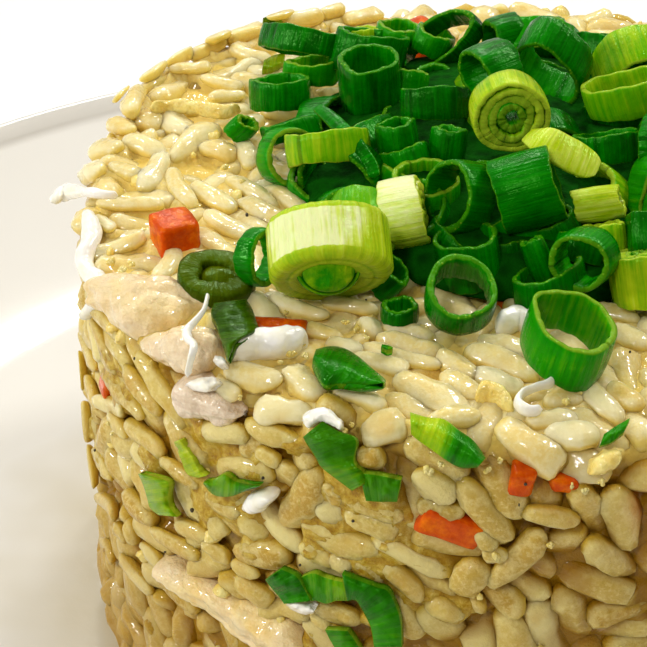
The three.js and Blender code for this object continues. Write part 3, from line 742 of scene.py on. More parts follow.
# Grains that stand out in the picture: both tips and the width, in pixels.
SHOWN_GRAINS = [
    (138, 357, 186, 421, 25), (168, 408, 208, 471, 26), (92, 320, 118, 364, 20),
    (94, 304, 122, 338, 16), (80, 326, 100, 376, 13), (125, 362, 160, 400, 22),
    (104, 372, 147, 420, 23), (127, 422, 165, 449, 24), (100, 400, 128, 412, 18),
    (111, 418, 128, 440, 15), (136, 447, 160, 480, 22), (161, 460, 200, 481, 15),
    (199, 433, 252, 441, 22), (246, 423, 302, 443, 24), (226, 461, 286, 473, 29),
    (254, 448, 277, 462, 18), (307, 464, 286, 528, 34), (331, 488, 346, 502, 20),
    (350, 501, 402, 528, 26), (298, 526, 380, 550, 31), (236, 539, 292, 545, 30),
    (198, 489, 231, 534, 27), (207, 494, 243, 516, 21), (181, 531, 209, 537, 16),
    (152, 532, 200, 559, 18), (125, 493, 156, 520, 22), (128, 519, 137, 545, 20),
    (100, 497, 119, 518, 16), (116, 523, 126, 540, 15), (103, 538, 115, 563, 14),
    (142, 545, 162, 567, 16), (205, 544, 230, 559, 16), (233, 557, 260, 571, 18),
    (232, 574, 270, 600, 25), (277, 556, 294, 572, 17), (301, 546, 337, 567, 23),
    (331, 557, 354, 571, 20), (354, 556, 382, 580, 23), (153, 560, 199, 620, 20),
    (122, 561, 151, 593, 17), (318, 605, 363, 621, 22), (314, 614, 329, 627, 16),
    (333, 392, 386, 409, 26), (365, 430, 413, 421, 36), (399, 379, 463, 424, 34),
    (366, 357, 421, 376, 25), (388, 335, 450, 359, 28), (428, 359, 467, 378, 24),
    (467, 346, 534, 382, 28), (447, 381, 480, 411, 27), (477, 371, 521, 392, 27),
    (477, 333, 521, 356, 28), (498, 421, 560, 471, 34), (530, 421, 581, 421, 26),
    (553, 444, 611, 440, 26), (574, 380, 623, 426, 28), (608, 384, 637, 407, 26),
    (357, 457, 382, 457, 22), (420, 463, 458, 498, 29), (464, 473, 512, 540, 29),
    (411, 504, 460, 517, 23), (348, 498, 408, 525, 24), (373, 526, 448, 574, 24),
    (390, 557, 427, 594, 24), (452, 590, 482, 559, 34), (492, 585, 543, 530, 30),
    (478, 525, 488, 539, 13), (486, 552, 510, 558, 16), (395, 595, 421, 636, 25),
    (430, 597, 468, 618, 22), (519, 509, 580, 514, 18), (85, 143, 128, 148, 22),
    (122, 142, 167, 153, 22), (72, 170, 112, 172, 21), (106, 168, 142, 178, 20),
    (136, 194, 160, 160, 27), (168, 171, 194, 210, 20), (168, 163, 220, 126, 29),
    (143, 118, 168, 130, 26), (164, 120, 194, 138, 26), (126, 76, 139, 124, 20),
    (98, 205, 166, 203, 20), (137, 88, 188, 69, 22), (191, 55, 232, 38, 17),
    (230, 52, 266, 63, 20), (228, 27, 270, 38, 23), (160, 64, 203, 71, 14),
    (102, 117, 131, 134, 14), (87, 260, 152, 232, 23), (157, 279, 175, 250, 22),
    (95, 220, 116, 231, 16), (182, 188, 228, 209, 20), (208, 214, 264, 246, 21),
    (238, 199, 292, 233, 22), (222, 178, 277, 206, 20), (259, 188, 304, 216, 20),
    (198, 234, 252, 263, 20), (194, 254, 240, 268, 15), (217, 362, 272, 380, 26),
    (276, 372, 314, 398, 32), (252, 411, 311, 409, 27), (216, 375, 241, 392, 20),
    (303, 327, 344, 341, 15), (383, 327, 430, 344, 22), (362, 352, 441, 369, 23),
    (329, 343, 368, 353, 16), (262, 301, 324, 318, 20), (322, 302, 380, 312, 19),
    (204, 78, 244, 92, 18), (212, 98, 246, 92, 16), (246, 70, 276, 84, 18),
    (196, 142, 236, 152, 22), (230, 138, 258, 168, 20), (250, 160, 286, 180, 20),
    (590, 308, 640, 322, 22), (600, 334, 646, 348, 24), (548, 402, 590, 398, 24),
    (276, 30, 318, 12, 24), (318, 16, 345, 8, 20), (344, 22, 382, 12, 22), (262, 16, 290, 8, 16),
    (206, 44, 226, 28, 18), (172, 60, 196, 46, 18), (140, 76, 166, 64, 18), (112, 96, 128, 84, 16),
    (82, 402, 92, 440, 12), (84, 446, 98, 486, 14), (96, 452, 112, 478, 14),
    (88, 376, 98, 402, 11), (76, 352, 84, 390, 9), (428, 412, 474, 402, 20),
]

# ------------------------------------------------------------------ ribbons


def smooth_path(points, count):
    """`count` rows along a Catmull-Rom curve through the rows of points."""
    points = np.asarray(points, float)
    padded = np.concatenate([[2 * points[0] - points[1]], points, [2 * points[-1] - points[-2]]])
    at = np.linspace(0, len(points) - 1 - 1e-6, count)
    i = at.astype(int)
    t = (at - i)[:, None]
    a, b, c, d = (padded[i + k] for k in range(4))
    return 0.5 * (2 * b + (c - a) * t + (2 * a - 5 * b + 4 * c - d) * t ** 2
                  + (3 * b - a - 3 * c + d) * t ** 3)


def traced(rows, thickness, face):
    """A listed strip whose outer face stands `face` mm over the mould's surface: its
    middle line, normals and widths in mm."""
    rows = np.asarray(rows, float)
    place, normal = on_mound(rows[:, :2], face - thickness / 2)
    return place, normal, px_to_mm(rows[:, 2], place)


def ribbon(path, normals, widths, thickness, steps, sides, square, camber, wander, seed):
    """A strip swept along a path. square 2 gives an oval section, 9 a flat one; camber bows
    it outwards, wander lets its middle stray. Returns points, triangles, quads and, for each
    point, (mm along, mm across, 1 on the edge)."""
    least_width, tip_out, tip_share, edge_from, edge_over = 0.15, 0.1, 0.2, 0.93, 0.05
    rows = smooth_path(np.column_stack([path, normals, widths]), steps)
    middle, normal, width = rows[:, :3], unit(rows[:, 3:6]), np.maximum(rows[:, 6], least_width)
    middle = middle + wander * noise(middle, 3.0, seed)[:, None] * normal
    along = unit(np.gradient(middle, axis=0))
    side = unit(np.cross(normal, along))
    normal = np.cross(along, side)
    run = run_along(middle)
    to_end = np.minimum(run, run[-1] - run)
    ends = np.clip(to_end / (0.45 * thickness), 0, 1)
    round_off = (np.sqrt(1 - (1 - ends) ** 2) * (1 - tip_share) + tip_share)[:, None]
    angle = circle(sides)
    cx, cz = (np.sign(w) * np.abs(w) ** (2 / square) for w in (np.cos(angle), np.sin(angle)))
    across = 0.5 * width[:, None] * cx * round_off
    over = 0.5 * thickness * cz * round_off - camber * (2 * across / width.max()) ** 2
    verts = (middle[:, None] + side[:, None] * across[..., None]
             + normal[:, None] * over[..., None])
    edge = np.broadcast_to(np.clip((np.abs(cx) - edge_from) / edge_over, 0, 1), across.shape)
    marks = np.stack([np.broadcast_to(run[:, None], across.shape), across, edge], -1)
    tips = np.stack([middle[0] - along[0] * tip_out, middle[-1] + along[-1] * tip_out])
    tip_marks = np.array([[0, 0, 1.0], [run[-1], 0, 1.0]])
    quads, tris = tube_faces(steps, sides)
    return (np.concatenate([verts.reshape(-1, 3), tips]), tris, quads,
            np.concatenate([marks.reshape(-1, 3), tip_marks]))


def lumpy(verts, amount, size, seed):
    """Pushes the points of a closed form in and out by noise, away from its middle."""
    out = unit(verts - verts.mean(0))
    return verts + out * (amount * rough(verts, size, seed))[:, None]


# ------------------------------------------------------------------ packing the grains


def seat(on, at, out):
    """A place on the mound with its outward and sideways directions."""
    sunk = 0.8
    if on == "top":
        return np.array([at[0], at[1], MOUND_TOP - sunk + out]), UP, np.array([1.0, 0, 0])
    outward = direction(at[0], 0)
    place = outward * (MOUND["radius"] - sunk + out) + UP * (MOUND_TOP - at[1])
    return place, outward, np.cross(UP, outward)


class Grains:
    """Rods with round ends: middles, directions, half lengths, radii, and the depth of the
    rod's surface below the mould that each is drawn to, with one end deeper by `dive`.
    free is 0 for what stays put."""

    FIELDS = ("middle", "way", "half", "radius", "depth", "dive", "free", "kind")

    def __init__(self):
        self.parts = {name: [] for name in self.FIELDS}

    def add(self, **values):
        count = len(values["middle"])
        for name in self.FIELDS:
            value = np.asarray(values[name], float)
            if value.ndim == 0:
                value = np.full(count, float(value))
            self.parts[name].append(value)

    def close(self):
        for name in self.FIELDS:
            setattr(self, name, np.concatenate(self.parts[name]))

    def keep(self, chosen):
        for name in self.FIELDS:
            setattr(self, name, getattr(self, name)[chosen])


# Kinds of grain, and what only takes up room; BELOW is a second layer, this much deeper.
SIDE, TOP, BELOW, BLOCK = range(4)
BELOW_BY = 2.7
# Layers of loose grains: how many, their kind, how deep, and how steeply they stand in degrees.
SIDE_LAYERS = ((840, SIDE, 0.0, 14), (640, BELOW, BELOW_BY, 30))
TOP_LAYERS = ((370, TOP, 0.0, 8), (280, BELOW, BELOW_BY, 25))
# Ranges of half length, to the middle of a round end, and of radius; the grains that the picture
# shows move less than the others when all are packed. Lumps are waves on a grain: their height,
# how many along it and how many round it.
GRAIN = dict(half=(1.4, 2.7), radius=(1.38, 1.8), shown_half=(0.3, 3.6), shown_radius=(0.8, 1.9),
             proud=0.35, shown_free=0.12, soft=0.82,
             lumps=((0.03, 2.2, 0), (0.04, 3.6, 1), (0.07, 2.4, 2), (0.04, 6.0, 1),
                    (0.06, 3.0, 3), (0.03, 5.0, 4)))


def shown_grains(grains):
    """The grains that stand out in the picture, a little proud of the mould's surface."""
    rows = np.array(SHOWN_GRAINS, float)
    proud = GRAIN["proud"]
    radius = px_to_mm(rows[:, 4], on_mound(rows[:, 0:2])[0]) / 2
    radius = np.clip(radius, *GRAIN["shown_radius"])
    first, _ = on_mound(rows[:, 0:2], proud - radius)
    last, _ = on_mound(rows[:, 2:4], proud - radius)
    middle = (first + last) / 2
    half = np.clip(np.linalg.norm(last - first, axis=1) / 2 - radius, *GRAIN["shown_half"])
    height, normal = mound_surface(middle)
    kind = np.where(normal[:, 2] > 0.5, TOP, SIDE)
    grains.add(middle=middle, way=unit(last - first), half=half, radius=radius,
               depth=-np.clip(height + radius, proud, 5.0), dive=0.0, free=GRAIN["shown_free"],
               kind=kind)


def add_loose(grains, rng, middle, way, kind, depth, unevenness):
    """Grains of their own sizes at these middles: the highest they come over their layer's
    depth, and how much deeper one end of each lies."""
    highest, dive = unevenness
    count = len(middle)
    grains.add(middle=middle, way=way, half=rng.uniform(*GRAIN["half"], count),
               radius=rng.uniform(*GRAIN["radius"], count),
               depth=depth + rng.uniform(-highest, 0.5, count), dive=rng.normal(0, dive, count),
               free=1.0, kind=kind)


def spread_grains(grains, rng):
    """Grains all over the mound in two layers, evenly spread with random directions."""
    low, high = WELL_TOP + 1.6, MOUND_TOP - 2.2
    for count, kind, depth, steepness in SIDE_LAYERS:
        i = np.arange(count)
        angle = i * GOLDEN_ANGLE + rng.normal(0, 0.02, count)
        outward = np.stack([np.cos(angle), np.sin(angle), 0.0 * i], 1)
        turn = np.radians(rng.normal(-38, 38, count))[:, None]
        tilt = np.radians(rng.normal(0, steepness, count))[:, None]
        way = np.cos(turn) * np.cross(UP, outward) + np.sin(turn) * UP
        way = unit(way * np.cos(tilt) + outward * np.sin(tilt))
        height = low + (high - low - depth) * (i + 0.5) / count
        middle = outward * (MOUND["radius"] - 1.5 - depth) + height[:, None] * UP
        add_loose(grains, rng, middle, way, kind, depth, (0.3, 1.3))
    for count, kind, depth, steepness in TOP_LAYERS:
        i = np.arange(count)
        angle = i * GOLDEN_ANGLE
        r = (MOUND["radius"] - 2.0) * np.sqrt((i + 0.5) / count)
        level = np.full(count, MOUND_TOP - 1.5 - depth)
        middle = np.stack([r * np.cos(angle), r * np.sin(angle), level], 1)
        turn = np.radians(rng.normal(-30, 55, count))
        tilt = np.radians(rng.normal(0, steepness, count))
        way = np.stack([np.cos(turn) * np.cos(tilt), np.sin(turn) * np.cos(tilt), np.sin(tilt)], 1)
        add_loose(grains, rng, middle, way, kind, depth, (0.35, 1.0))


def block_paths(grains, path, radii):
    """Room taken by a piece along its middle line."""
    a, b = path[:-1], path[1:]
    grains.add(middle=(a + b) / 2, way=unit(b - a), half=np.linalg.norm(b - a, axis=1) / 2,
               radius=(radii[:-1] + radii[1:]) / 2, depth=0.0, dive=0.0, free=0.0, kind=BLOCK)


def nearest_points(g, i, j):
    """Where rods i and j come closest: how far along each from its middle, and the gap
    between those points, from j to i."""
    mi, mj, wi, wj, hi, hj = g.middle[i], g.middle[j], g.way[i], g.way[j], g.half[i], g.half[j]
    b, d, e = dot(wi, wj), dot(wi, mi - mj), dot(wj, mi - mj)
    s = np.clip((b * e - d) / (1.0001 - b * b), -hi, hi)
    t = np.clip(b * s + e, -hj, hj)
    s = np.clip(b * t - d, -hi, hi)
    return s, t, (mi + s[:, None] * wi) - (mj + t[:, None] * wj)


def near_pairs(g):
    """Index pairs of rods whose middles are close enough to touch, of which one is free."""
    reach, chunk = 1.05, 400
    found_i, found_j = [], []
    size = g.half + g.radius
    for start in range(0, len(g.middle), chunk):
        rows = slice(start, start + chunk)
        gap = np.linalg.norm(g.middle[rows, None] - g.middle[None], axis=2)
        i, j = np.nonzero(gap < (size[rows, None] + size[None]) * reach)
        i += start
        chosen = (i < j) & (g.free[i] + g.free[j] > 0)
        found_i.append(i[chosen])
        found_j.append(j[chosen])
    return np.concatenate(found_i), np.concatenate(found_j)


def push_apart(g, i, j):
    """One step that takes pairs of rods out of each other."""
    soft, most, most_swing = GRAIN["soft"], 0.8, 0.12
    s, t, gap = nearest_points(g, i, j)
    apart = np.linalg.norm(gap, axis=1)
    over = np.maximum((g.radius[i] + g.radius[j]) * soft - apart, 0) * 0.5
    push = gap / np.maximum(apart, 1e-4)[:, None] * over[:, None]
    free = g.free[i] + g.free[j]
    move, swing = np.zeros_like(g.middle), np.zeros_like(g.middle)
    for index, lever, sign in ((i, s, 1.0), (j, t, -1.0)):
        force = push * (g.free[index] / free * sign)[:, None]
        reach = (g.half[index] + g.radius[index]) ** 2
        np.add.at(move, index, force)
        np.add.at(swing, index, force * (lever / reach)[:, None])
    size = np.linalg.norm(move, axis=1, keepdims=True)
    g.middle += move * np.minimum(1, most / np.maximum(size, 1e-6))
    g.way = unit(g.way + np.clip(swing, -most_swing, most_swing))


def draw_to_depth(g, draw):
    """One step that keeps the rods inside the mould and draws them to their depth."""
    most_swing = 0.1
    loose = np.where(g.free > 0, 1, 0)
    pull, turn = np.zeros_like(g.middle), np.zeros_like(g.middle)
    for end in (-1.0, 1.0):
        height, normal = mound_surface(g.middle + end * g.half[:, None] * g.way)
        off = height + g.radius + g.depth + np.maximum(end * g.dive, 0)
        outside = np.where(off > 0, off, off * draw)
        shift = -normal * (outside * loose)[:, None] * 0.5
        pull += shift
        turn += shift * (end * g.half / (g.half + g.radius) ** 2)[:, None]
    floor = GRAIN_FLOOR + g.radius - (g.middle[:, 2] - g.half * np.abs(g.way[:, 2]))
    pull[:, 2] += loose * np.maximum(floor, 0)
    g.middle += pull
    g.way = unit(g.way + np.clip(turn, -most_swing, most_swing))


def settle(g, rounds):
    """Packs the rods: apart from each other, inside the mould, and near their depth."""
    for step in range(rounds):
        if step % 12 == 0:
            pairs = near_pairs(g)
        push_apart(g, *pairs)
        draw_to_depth(g, 0.10 if step < rounds * 0.7 else 0.03)


def thin_out(g, limit):
    """Drops free rods that still sink too far into others."""
    i, j = near_pairs(g)
    gap = nearest_points(g, i, j)[2]
    share = np.linalg.norm(gap, axis=1) / (g.radius[i] + g.radius[j])
    alive = np.ones(len(g.middle), bool)
    for k in np.argsort(share):
        if share[k] > limit:
            break
        a, b = i[k], j[k]
        if alive[a] and alive[b]:
            loser = a if (g.free[a], g.depth[a]) > (g.free[b], g.depth[b]) else b
            alive[loser] = g.free[loser] <= 0
    g.keep(alive)


# ------------------------------------------------------------------ grain meshes


def grain_meshes(g, chosen, rings, sides, rng):
    """All chosen grains as one set of points: every grain gets its own bend and lumps."""
    end_power, round_power, corner_power, tip_facing = 3.8, 1 / 2.1, 2.9, 0.25
    m, w = g.middle[chosen], g.way[chosen]
    count = len(m)
    length = (2 * (g.half + g.radius)[chosen] * 1.02)[:, None, None]
    radius = g.radius[chosen][:, None, None]
    normal = mound_surface(m)[1]
    normal = unit(normal - w * dot(normal, w)[:, None])
    side = np.cross(normal, w)
    # stations along a grain of length 2 and width 1 with blunt ends, and angles round it
    u = -np.sin(np.pi / 2 * np.cos(np.linspace(0, np.pi, rings + 2)[1:-1]))[:, None]
    section = (1 - np.abs(u) ** end_power) ** round_power
    angle = circle(sides)

    def draw(low, high):
        return rng.uniform(low, high, count)[:, None, None]

    taper = draw(-0.18, 0.18)
    lumps = 1 + sum(size * np.sin(along * u + around * angle + draw(0, 6.28))
                    for size, along, around in GRAIN["lumps"])
    corner = angle + draw(0, 6.28)
    square = (np.abs(np.cos(corner)) ** corner_power
              + np.abs(np.sin(corner)) ** corner_power) ** (-1 / corner_power)
    body = section * (1 + taper * u) * lumps * square * 0.97 * radius
    flat = draw(0.80, 0.95)
    y = body * np.cos(angle) * draw(0.98, 1.12)
    z = body * np.sin(angle) * flat
    bend = draw(0.0, 0.06) * length
    sway = rng.normal(0, 0.045, count)[:, None, None] * length
    y = y + bend * (u ** 2 - 0.4) * rng.choice([-1, 1], count)[:, None, None]
    z = z + sway * (u ** 2 - 0.4)
    blunt = draw(0.86, 1.25) * length / 2
    x = np.minimum(u * length / 2, blunt) + 0 * y
    points = (m[:, None, None] + x[..., None] * w[:, None, None]
              + y[..., None] * side[:, None, None] + z[..., None] * normal[:, None, None])
    last = np.minimum(length / 2, blunt)[:, 0]
    tips = [points[:, ring].mean(axis=1) + w * (tip - x[:, ring, :1])
            for ring, tip in ((0, -length[:, 0] / 2), (-1, last))]
    points = np.concatenate([points.reshape(count, -1, 3), np.stack(tips, 1)], 1)
    out = unit(points - m[:, None])
    points = points + out * (0.26 * noise(points, 1.9, 41)
                             + 0.14 * noise(points, 0.9, 42))[..., None]
    quads, tris = tube_faces(rings, sides)
    offset = (np.arange(count) * (rings * sides + 2))[:, None, None]
    facing = np.clip(z / radius, 0, 1).reshape(count, -1)
    facing = np.concatenate([facing, np.full((count, 2), tip_facing)], 1)
    return points, facing, (tris + offset).reshape(-1, 3), (quads + offset).reshape(-1, 4)


def press(points, slack, soft):
    """Rounds off what stands out of the mould by more than slack, as a mould does."""
    height, normal = mound_surface(points)
    beyond = np.maximum(height - slack, 0)
    points = points - normal * (beyond - soft * (1 - np.exp(-beyond / soft)))[..., None]
    points[..., 2] = np.maximum(points[..., 2], LOWEST)
    return points


# ------------------------------------------------------------------ spring onion slices
# Slices that the picture shows: the middle of the near cut end in pixels and its height over the
# mound's top in mm, outer radius in pixels, length in mm, which way the open end leans in the
# picture (0 right, 90 up) and how far it faces the camera (1 fully), tone from dark green 0 to
# white 1, squash, waviness, and how much paler (or darker) the wall gets towards its upper side.
SHOWN_SLICES = [
    (307, 30, 4.6, 39, 2.7, 76, 0.10, 0.06, 0.20, 0.10, 0.0),
    (313, 60, 3.0, 26, 2.4, 86, 0.35, 0.30, 0.20, 0.06, 0.0),
    (281, 78, 3.8, 34, 3.0, 92, 0.24, 0.12, 0.08, 0.10, 0.0),
    (249, 122, 2.0, 13, 2.2, 40, 0.45, 0.26, 0.15, 0.10, 0.0),
    (288, 122, 3.0, 26, 2.0, 110, 0.12, 0.10, 0.15, 0.08, 0.0),
    (368, 58, 8.0, 31, 5.4, 95, 0.62, 0.08, 0.06, 0.10, 0.0),
    (362, 28, 4.4, 20, 2.6, 90, 0.30, 0.62, 0.10, 0.06, 0.0),
    (401, 25, 4.6, 25, 2.4, 82, 0.36, 0.28, 0.10, 0.10, 0.0),
    (437, 31, 5.0, 24, 2.4, 66, 0.30, 0.22, 0.12, 0.08, 0.0),
    (411, 70, 5.6, 18, 3.6, 80, 0.18, 0.26, 0.08, 0.06, 0.0),
    (326, 132, 5.4, 43, 3.0, 97, 0.10, 0.58, 0.04, 0.02, 0.0),
    (310, 176, 1.4, 24, 1.8, 82, 0.78, 0.15, 0.08, 0.12, 0.0),
    (426, 176, 4.6, 35, 3.0, 92, 0.60, 0.33, 0.05, 0.05, 0.0),
    (362, 231, 2.9, 33, 3.0, -92, 0.62, 0.50, 0.04, 0.03, 0.0),
    (424, 209, 4.4, 35, 3.7, 10, 0.20, 0.86, 0.03, 0.02, 0.18),
    (447, 196, 5.4, 38, 3.2, 178, 0.62, 0.10, 0.04, 0.05, 0.0),
    (557, 182, 7.2, 38, 5.5, 15, 0.16, 0.13, 0.03, 0.04, 0.0),
    (512, 119, 9.2, 39, 3.4, -84, 0.86, 0.70, 0.04, 0.04, 0.0),
    (476, 78, 8.2, 31, 4.0, 205, 0.42, 0.10, 0.08, 0.06, 0.0),
    (434, 88, 6.8, 34, 3.2, 94, 0.12, 0.04, 0.08, 0.06, 0.0),
    (395, 122, 6.4, 24, 3.4, 100, 0.34, 0.10, 0.12, 0.10, 0.0),
    (402, 148, 4.6, 24, 2.2, 108, 0.10, 0.16, 0.15, 0.06, 0.0),
    (450, 128, 6.6, 17, 3.2, 84, 0.30, 0.10, 0.06, 0.03, 0.0),
    (578, 264, 4.6, 31, 3.0, 215, 0.80, 0.15, 0.05, 0.05, 0.0),
    (531, 240, 4.4, 14, 4.0, 112, 0.22, 0.08, 0.10, 0.06, 0.0),
    (622, 201, 5.4, 17, 4.2, 8, 0.16, 0.78, 0.08, 0.04, 0.0),
    (603, 224, 4.4, 21, 3.2, 95, 0.20, 0.64, 0.08, 0.05, 0.0),
    (640, 252, 4.2, 33, 4.6, 100, 0.22, 0.66, 0.05, 0.05, 0.0),
    (396, 268, 1.9, 20, 2.6, 40, 0.50, 0.08, 0.10, 0.08, 0.0),
    (400, 304, 1.0, 21, 1.5, 90, 0.34, 0.03, 0.10, 0.06, 0.0),
    (386, 244, 2.6, 9, 2.2, 60, 0.75, 0.36, 0.05, 0.05, 0.0),
    (500, 240, 2.2, 26, 3.0, 100, 0.20, 0.04, 0.10, 0.08, 0.0),
    (460, 236, 2.0, 28, 3.0, 60, 0.30, 0.05, 0.10, 0.08, 0.0),
    (545, 216, 3.4, 30, 3.2, 120, 0.30, 0.05, 0.10, 0.06, 0.0),
]
# Slices towards the right and the back: x, y and height over the mound's top, outer radius,
# length, the axis (azimuth, elevation), then tone, squash and waviness.
OTHER_SLICES = [
    (13, -15, 3.6, 3.8, 3.4, -60, 35, 0.30, 0.10, 0.06),
    (13, -6, 6, 4.2, 4.4, -20, 15, 0.10, 0.08, 0.06),
    (10, 3, 7.4, 4, 3.2, 150, 65, 0.50, 0.08, 0.06),
    (19, -2, 4, 3.8, 3, 10, 55, 0.15, 0.10, 0.06),
    (3, 9, 7.8, 3.9, 3.6, 60, 30, 0.10, 0.10, 0.08),
    (12, 12, 5.6, 4.2, 5, 100, 20, 0.60, 0.06, 0.04),
    (20, 8, 3.2, 3.4, 3, -30, 70, 0.10, 0.10, 0.08),
    (3, 20, 4.6, 3.8, 3.4, 85, 40, 0.30, 0.10, 0.06),
    (12, 21, 2.8, 3.6, 2.8, 40, 70, 0.12, 0.10, 0.06),
]
LONE_SLICES = {
    "scallion_ring_left": (267, 258, 3.6, 27, 2.0, -8, 0.60, 0.18, 0.06, 0.03, 0.0),
    "scallion_ring_middle": (462, 286, 4.4, 37, 3.2, 86, 0.88, 0.12, 0.03, 0.05, 0.0),
    "scallion_ring_front": (575, 320, 5.0, 46, 4.1, 76, 0.62, 0.30, 0.03, 0.08, 0.0),
}
# Loose strips of leaf on the heap: tone, then x, y and width in pixels, and height over the
# mound's top in mm. The first strip's pale tone is a painted reflection of the light on dark leaf.
HEAP_STRIPS = [(0.80, [(527, 136, 16, 8.6), (540, 139, 30, 9.2), (556, 146, 36, 9.0),
                       (574, 154, 38, 8.4), (590, 164, 32, 7.4), (598, 170, 16, 6.8)]),
               (0.12, [(316, 107, 9, 6.2), (328, 115, 14, 6.4), (344, 130, 16, 6.2),
                       (358, 146, 16, 5.6), (370, 163, 14, 4.6), (374, 176, 12, 3.8)]),
               (0.10, [(268, 133, 12, 2.6), (288, 126, 18, 3.0), (306, 118, 16, 3.2),
                       (322, 112, 10, 3.0)])]
STEM = dict(at=(-19.5, -22.5, 4.6), axis=(-84, -32), radius=5.4, depth=5.0, length=5.6,
            shoulder=0.9, white_side=(-0.35, -0.25, 0.9), heart_axis=(-86, 14), heart=2.55,
            heart_depth=2.2, heart_shift=(-0.3, 0, 1.6))
WALL = 0.55  # thickness of a leaf's wall
RING_SIDES = 56
# Slices under the others, spread over the heap by a rule: their number, how far out they lie,
# ranges of their sizes and tilts, tones and how often each comes. Those on the camera's side stay
# low, as the slices that the picture shows lie on them.
BURIED = dict(count=40, spread=0.92, radius=(2.8, 4.1), length=(2.2, 4.4), tilt=(5, 85),
              tones=(0.05, 0.1, 0.15, 0.3, 0.55), shares=(.3, .3, .2, .1, .1),
              near_side=(6, 16), near_lift=1.6)


def ring_form(radius, length, tone, squash, wave, seed, wall=WALL, cooked=0.0):
    """One slice about +Z: an uneven tube with rounded cut faces. Points, quads, marks, looks."""
    rng = np.random.default_rng(seed)
    edge, crown, belly, lift = 0.13, 0.02, 0.10, 0.07
    angle = circle(RING_SIDES)
    phase = rng.uniform(0, 2 * np.pi, 8)

    def ripple(*terms):
        return sum(size * np.sin(k * angle + phase[at]) for size, k, at in terms)[:, None]

    outer = radius * (1 + wave * ripple((0.5, 2, 0), (0.4, 3, 1), (0.25, 5, 2)))
    thick = wall * (1 + ripple((0.14, 1, 3), (0.10, 4, 4))) + ripple((0.06, 17, 5))
    ragged = ripple((0.10, 3, 6), (0.05, 11, 7))
    # round the wall's section: up the outside, over one cut face, down the inside, and back
    half = length / 2
    body, face = np.array([-1.0, -0.55, 0.0, 0.55, 1.0]) * (half - edge), [half, half + crown, half]
    level = np.concatenate([body, face, body[::-1], np.negative(face)])
    depth = np.repeat([0.0, 0, 1, 0], [5, 3, 5, 3])
    depth[5:8], depth[13:] = (0.16, 0.5, 0.84), (0.84, 0.5, 0.16)
    inside = np.repeat([0.0, 0, 1, 0], [5, 3, 5, 3])
    inside[5:8], inside[13:] = (0.2, 0.5, 0.8), (0.8, 0.5, 0.2)
    on_rim = np.repeat([0.0, 1, 0, 1], [5, 3, 5, 3])
    r = outer - thick * depth + (1 - depth) * belly * (1 - (level / half) ** 2)
    x = r * np.cos(angle)[:, None] * (1 + squash)
    y = r * np.sin(angle)[:, None] * (1 - squash)
    z = level + level / half * ragged + rng.normal(0, lift) * x
    around = (angle * radius)[:, None] + 0 * r
    marks = np.stack([around, z, on_rim + 0 * r], -1).reshape(-1, 3)
    looks = np.stack([tone + 0 * r, inside + 0 * r, cooked + 0 * r], -1).reshape(-1, 3)
    n, m = RING_SIDES, len(depth)
    i, j = np.meshgrid(np.arange(n), np.arange(m), indexing="ij")
    i2, j2 = (i + 1) % n, (j + 1) % m
    quads = np.stack([i * m + j, i2 * m + j, i2 * m + j2, i * m + j2], -1).reshape(-1, 4)
    return np.stack([x, y, z], -1).reshape(-1, 3), quads, marks, looks


def in_picture(px, py, lift):
    """The point at this height over the mound's top that shows at this pixel."""
    ray = picture_ray((px, py))
    return CAM_AT + ray * (MOUND_TOP + lift - CAM_AT[2]) / ray[2]


def leaning(lean, face):
    """A direction that leans this way in the picture and faces the camera by this much."""
    a = math.radians(lean)
    flat = math.cos(a) * CAM_RIGHT + math.sin(a) * CAM_UP
    return unit(face * CAM_BACK + math.sqrt(1 - face ** 2) * flat)


def placed(verts, at, axis, spin=0.0):
    """Moves a form about +Z so that +Z points along the axis."""
    axis = unit(axis)
    helper = UP if abs(axis[2]) < 0.9 else np.array([0.0, 1.0, 0.0])
    u = unit(np.cross(helper, axis))
    c, s = math.cos(spin), math.sin(spin)
    x = verts[:, :1] * c - verts[:, 1:2] * s
    y = verts[:, :1] * s + verts[:, 1:2] * c
    return np.asarray(at) + x * u + y * np.cross(axis, u) + verts[:, 2:] * axis


def add_slice(batch, at, axis, form, seed, fade=0.0, **options):
    """A slice in mm: form is its radius, length, tone, squash and waviness."""
    verts, quads, marks, looks = ring_form(*form, seed, **options)
    verts = placed(verts, at, axis, seed * 0.7)
    looks[:, 0] += fade * unit(verts - verts.mean(0))[:, 2]
    batch.add(verts, quads=quads, mark=marks, look=looks)


def add_shown_slice(batch, row, seed, inset=0.0, **options):
    """A slice from a row as the picture shows it; inset makes it the next leaf inwards."""
    px, py, lift, radius_px, length, lean, face, tone, squash, wave, fade = row
    end, axis = in_picture(px, py, lift), leaning(lean, face)
    form = (px_to_mm(radius_px, end) - inset, length, tone, squash, wave)
    add_slice(batch, end - axis * length / 2, axis, form, seed, fade, **options)


def add_leaves_within(batch, row, seed):
    """The leaves inside a wide pale slice, each darker than the one round it: painted shade inside
    the tube.
    """
    for k, inset in enumerate((0.60, 1.35, 2.15)):
        inner = (*row[:4], row[4] * 0.96, *row[5:7], row[7] - 0.08 - 0.18 * k, *row[8:])
        add_shown_slice(batch, inner, seed + k, inset, wall=0.85)


def add_rule_slice(batch, row, seed):
    """A slice from a row in mm and degrees, as in OTHER_SLICES."""
    x, y, lift, radius, length, azimuth, elevation, *look = row
    axis = direction(azimuth, elevation)
    add_slice(batch, (x, y, MOUND_TOP + lift), axis, (radius, length, *look), seed)


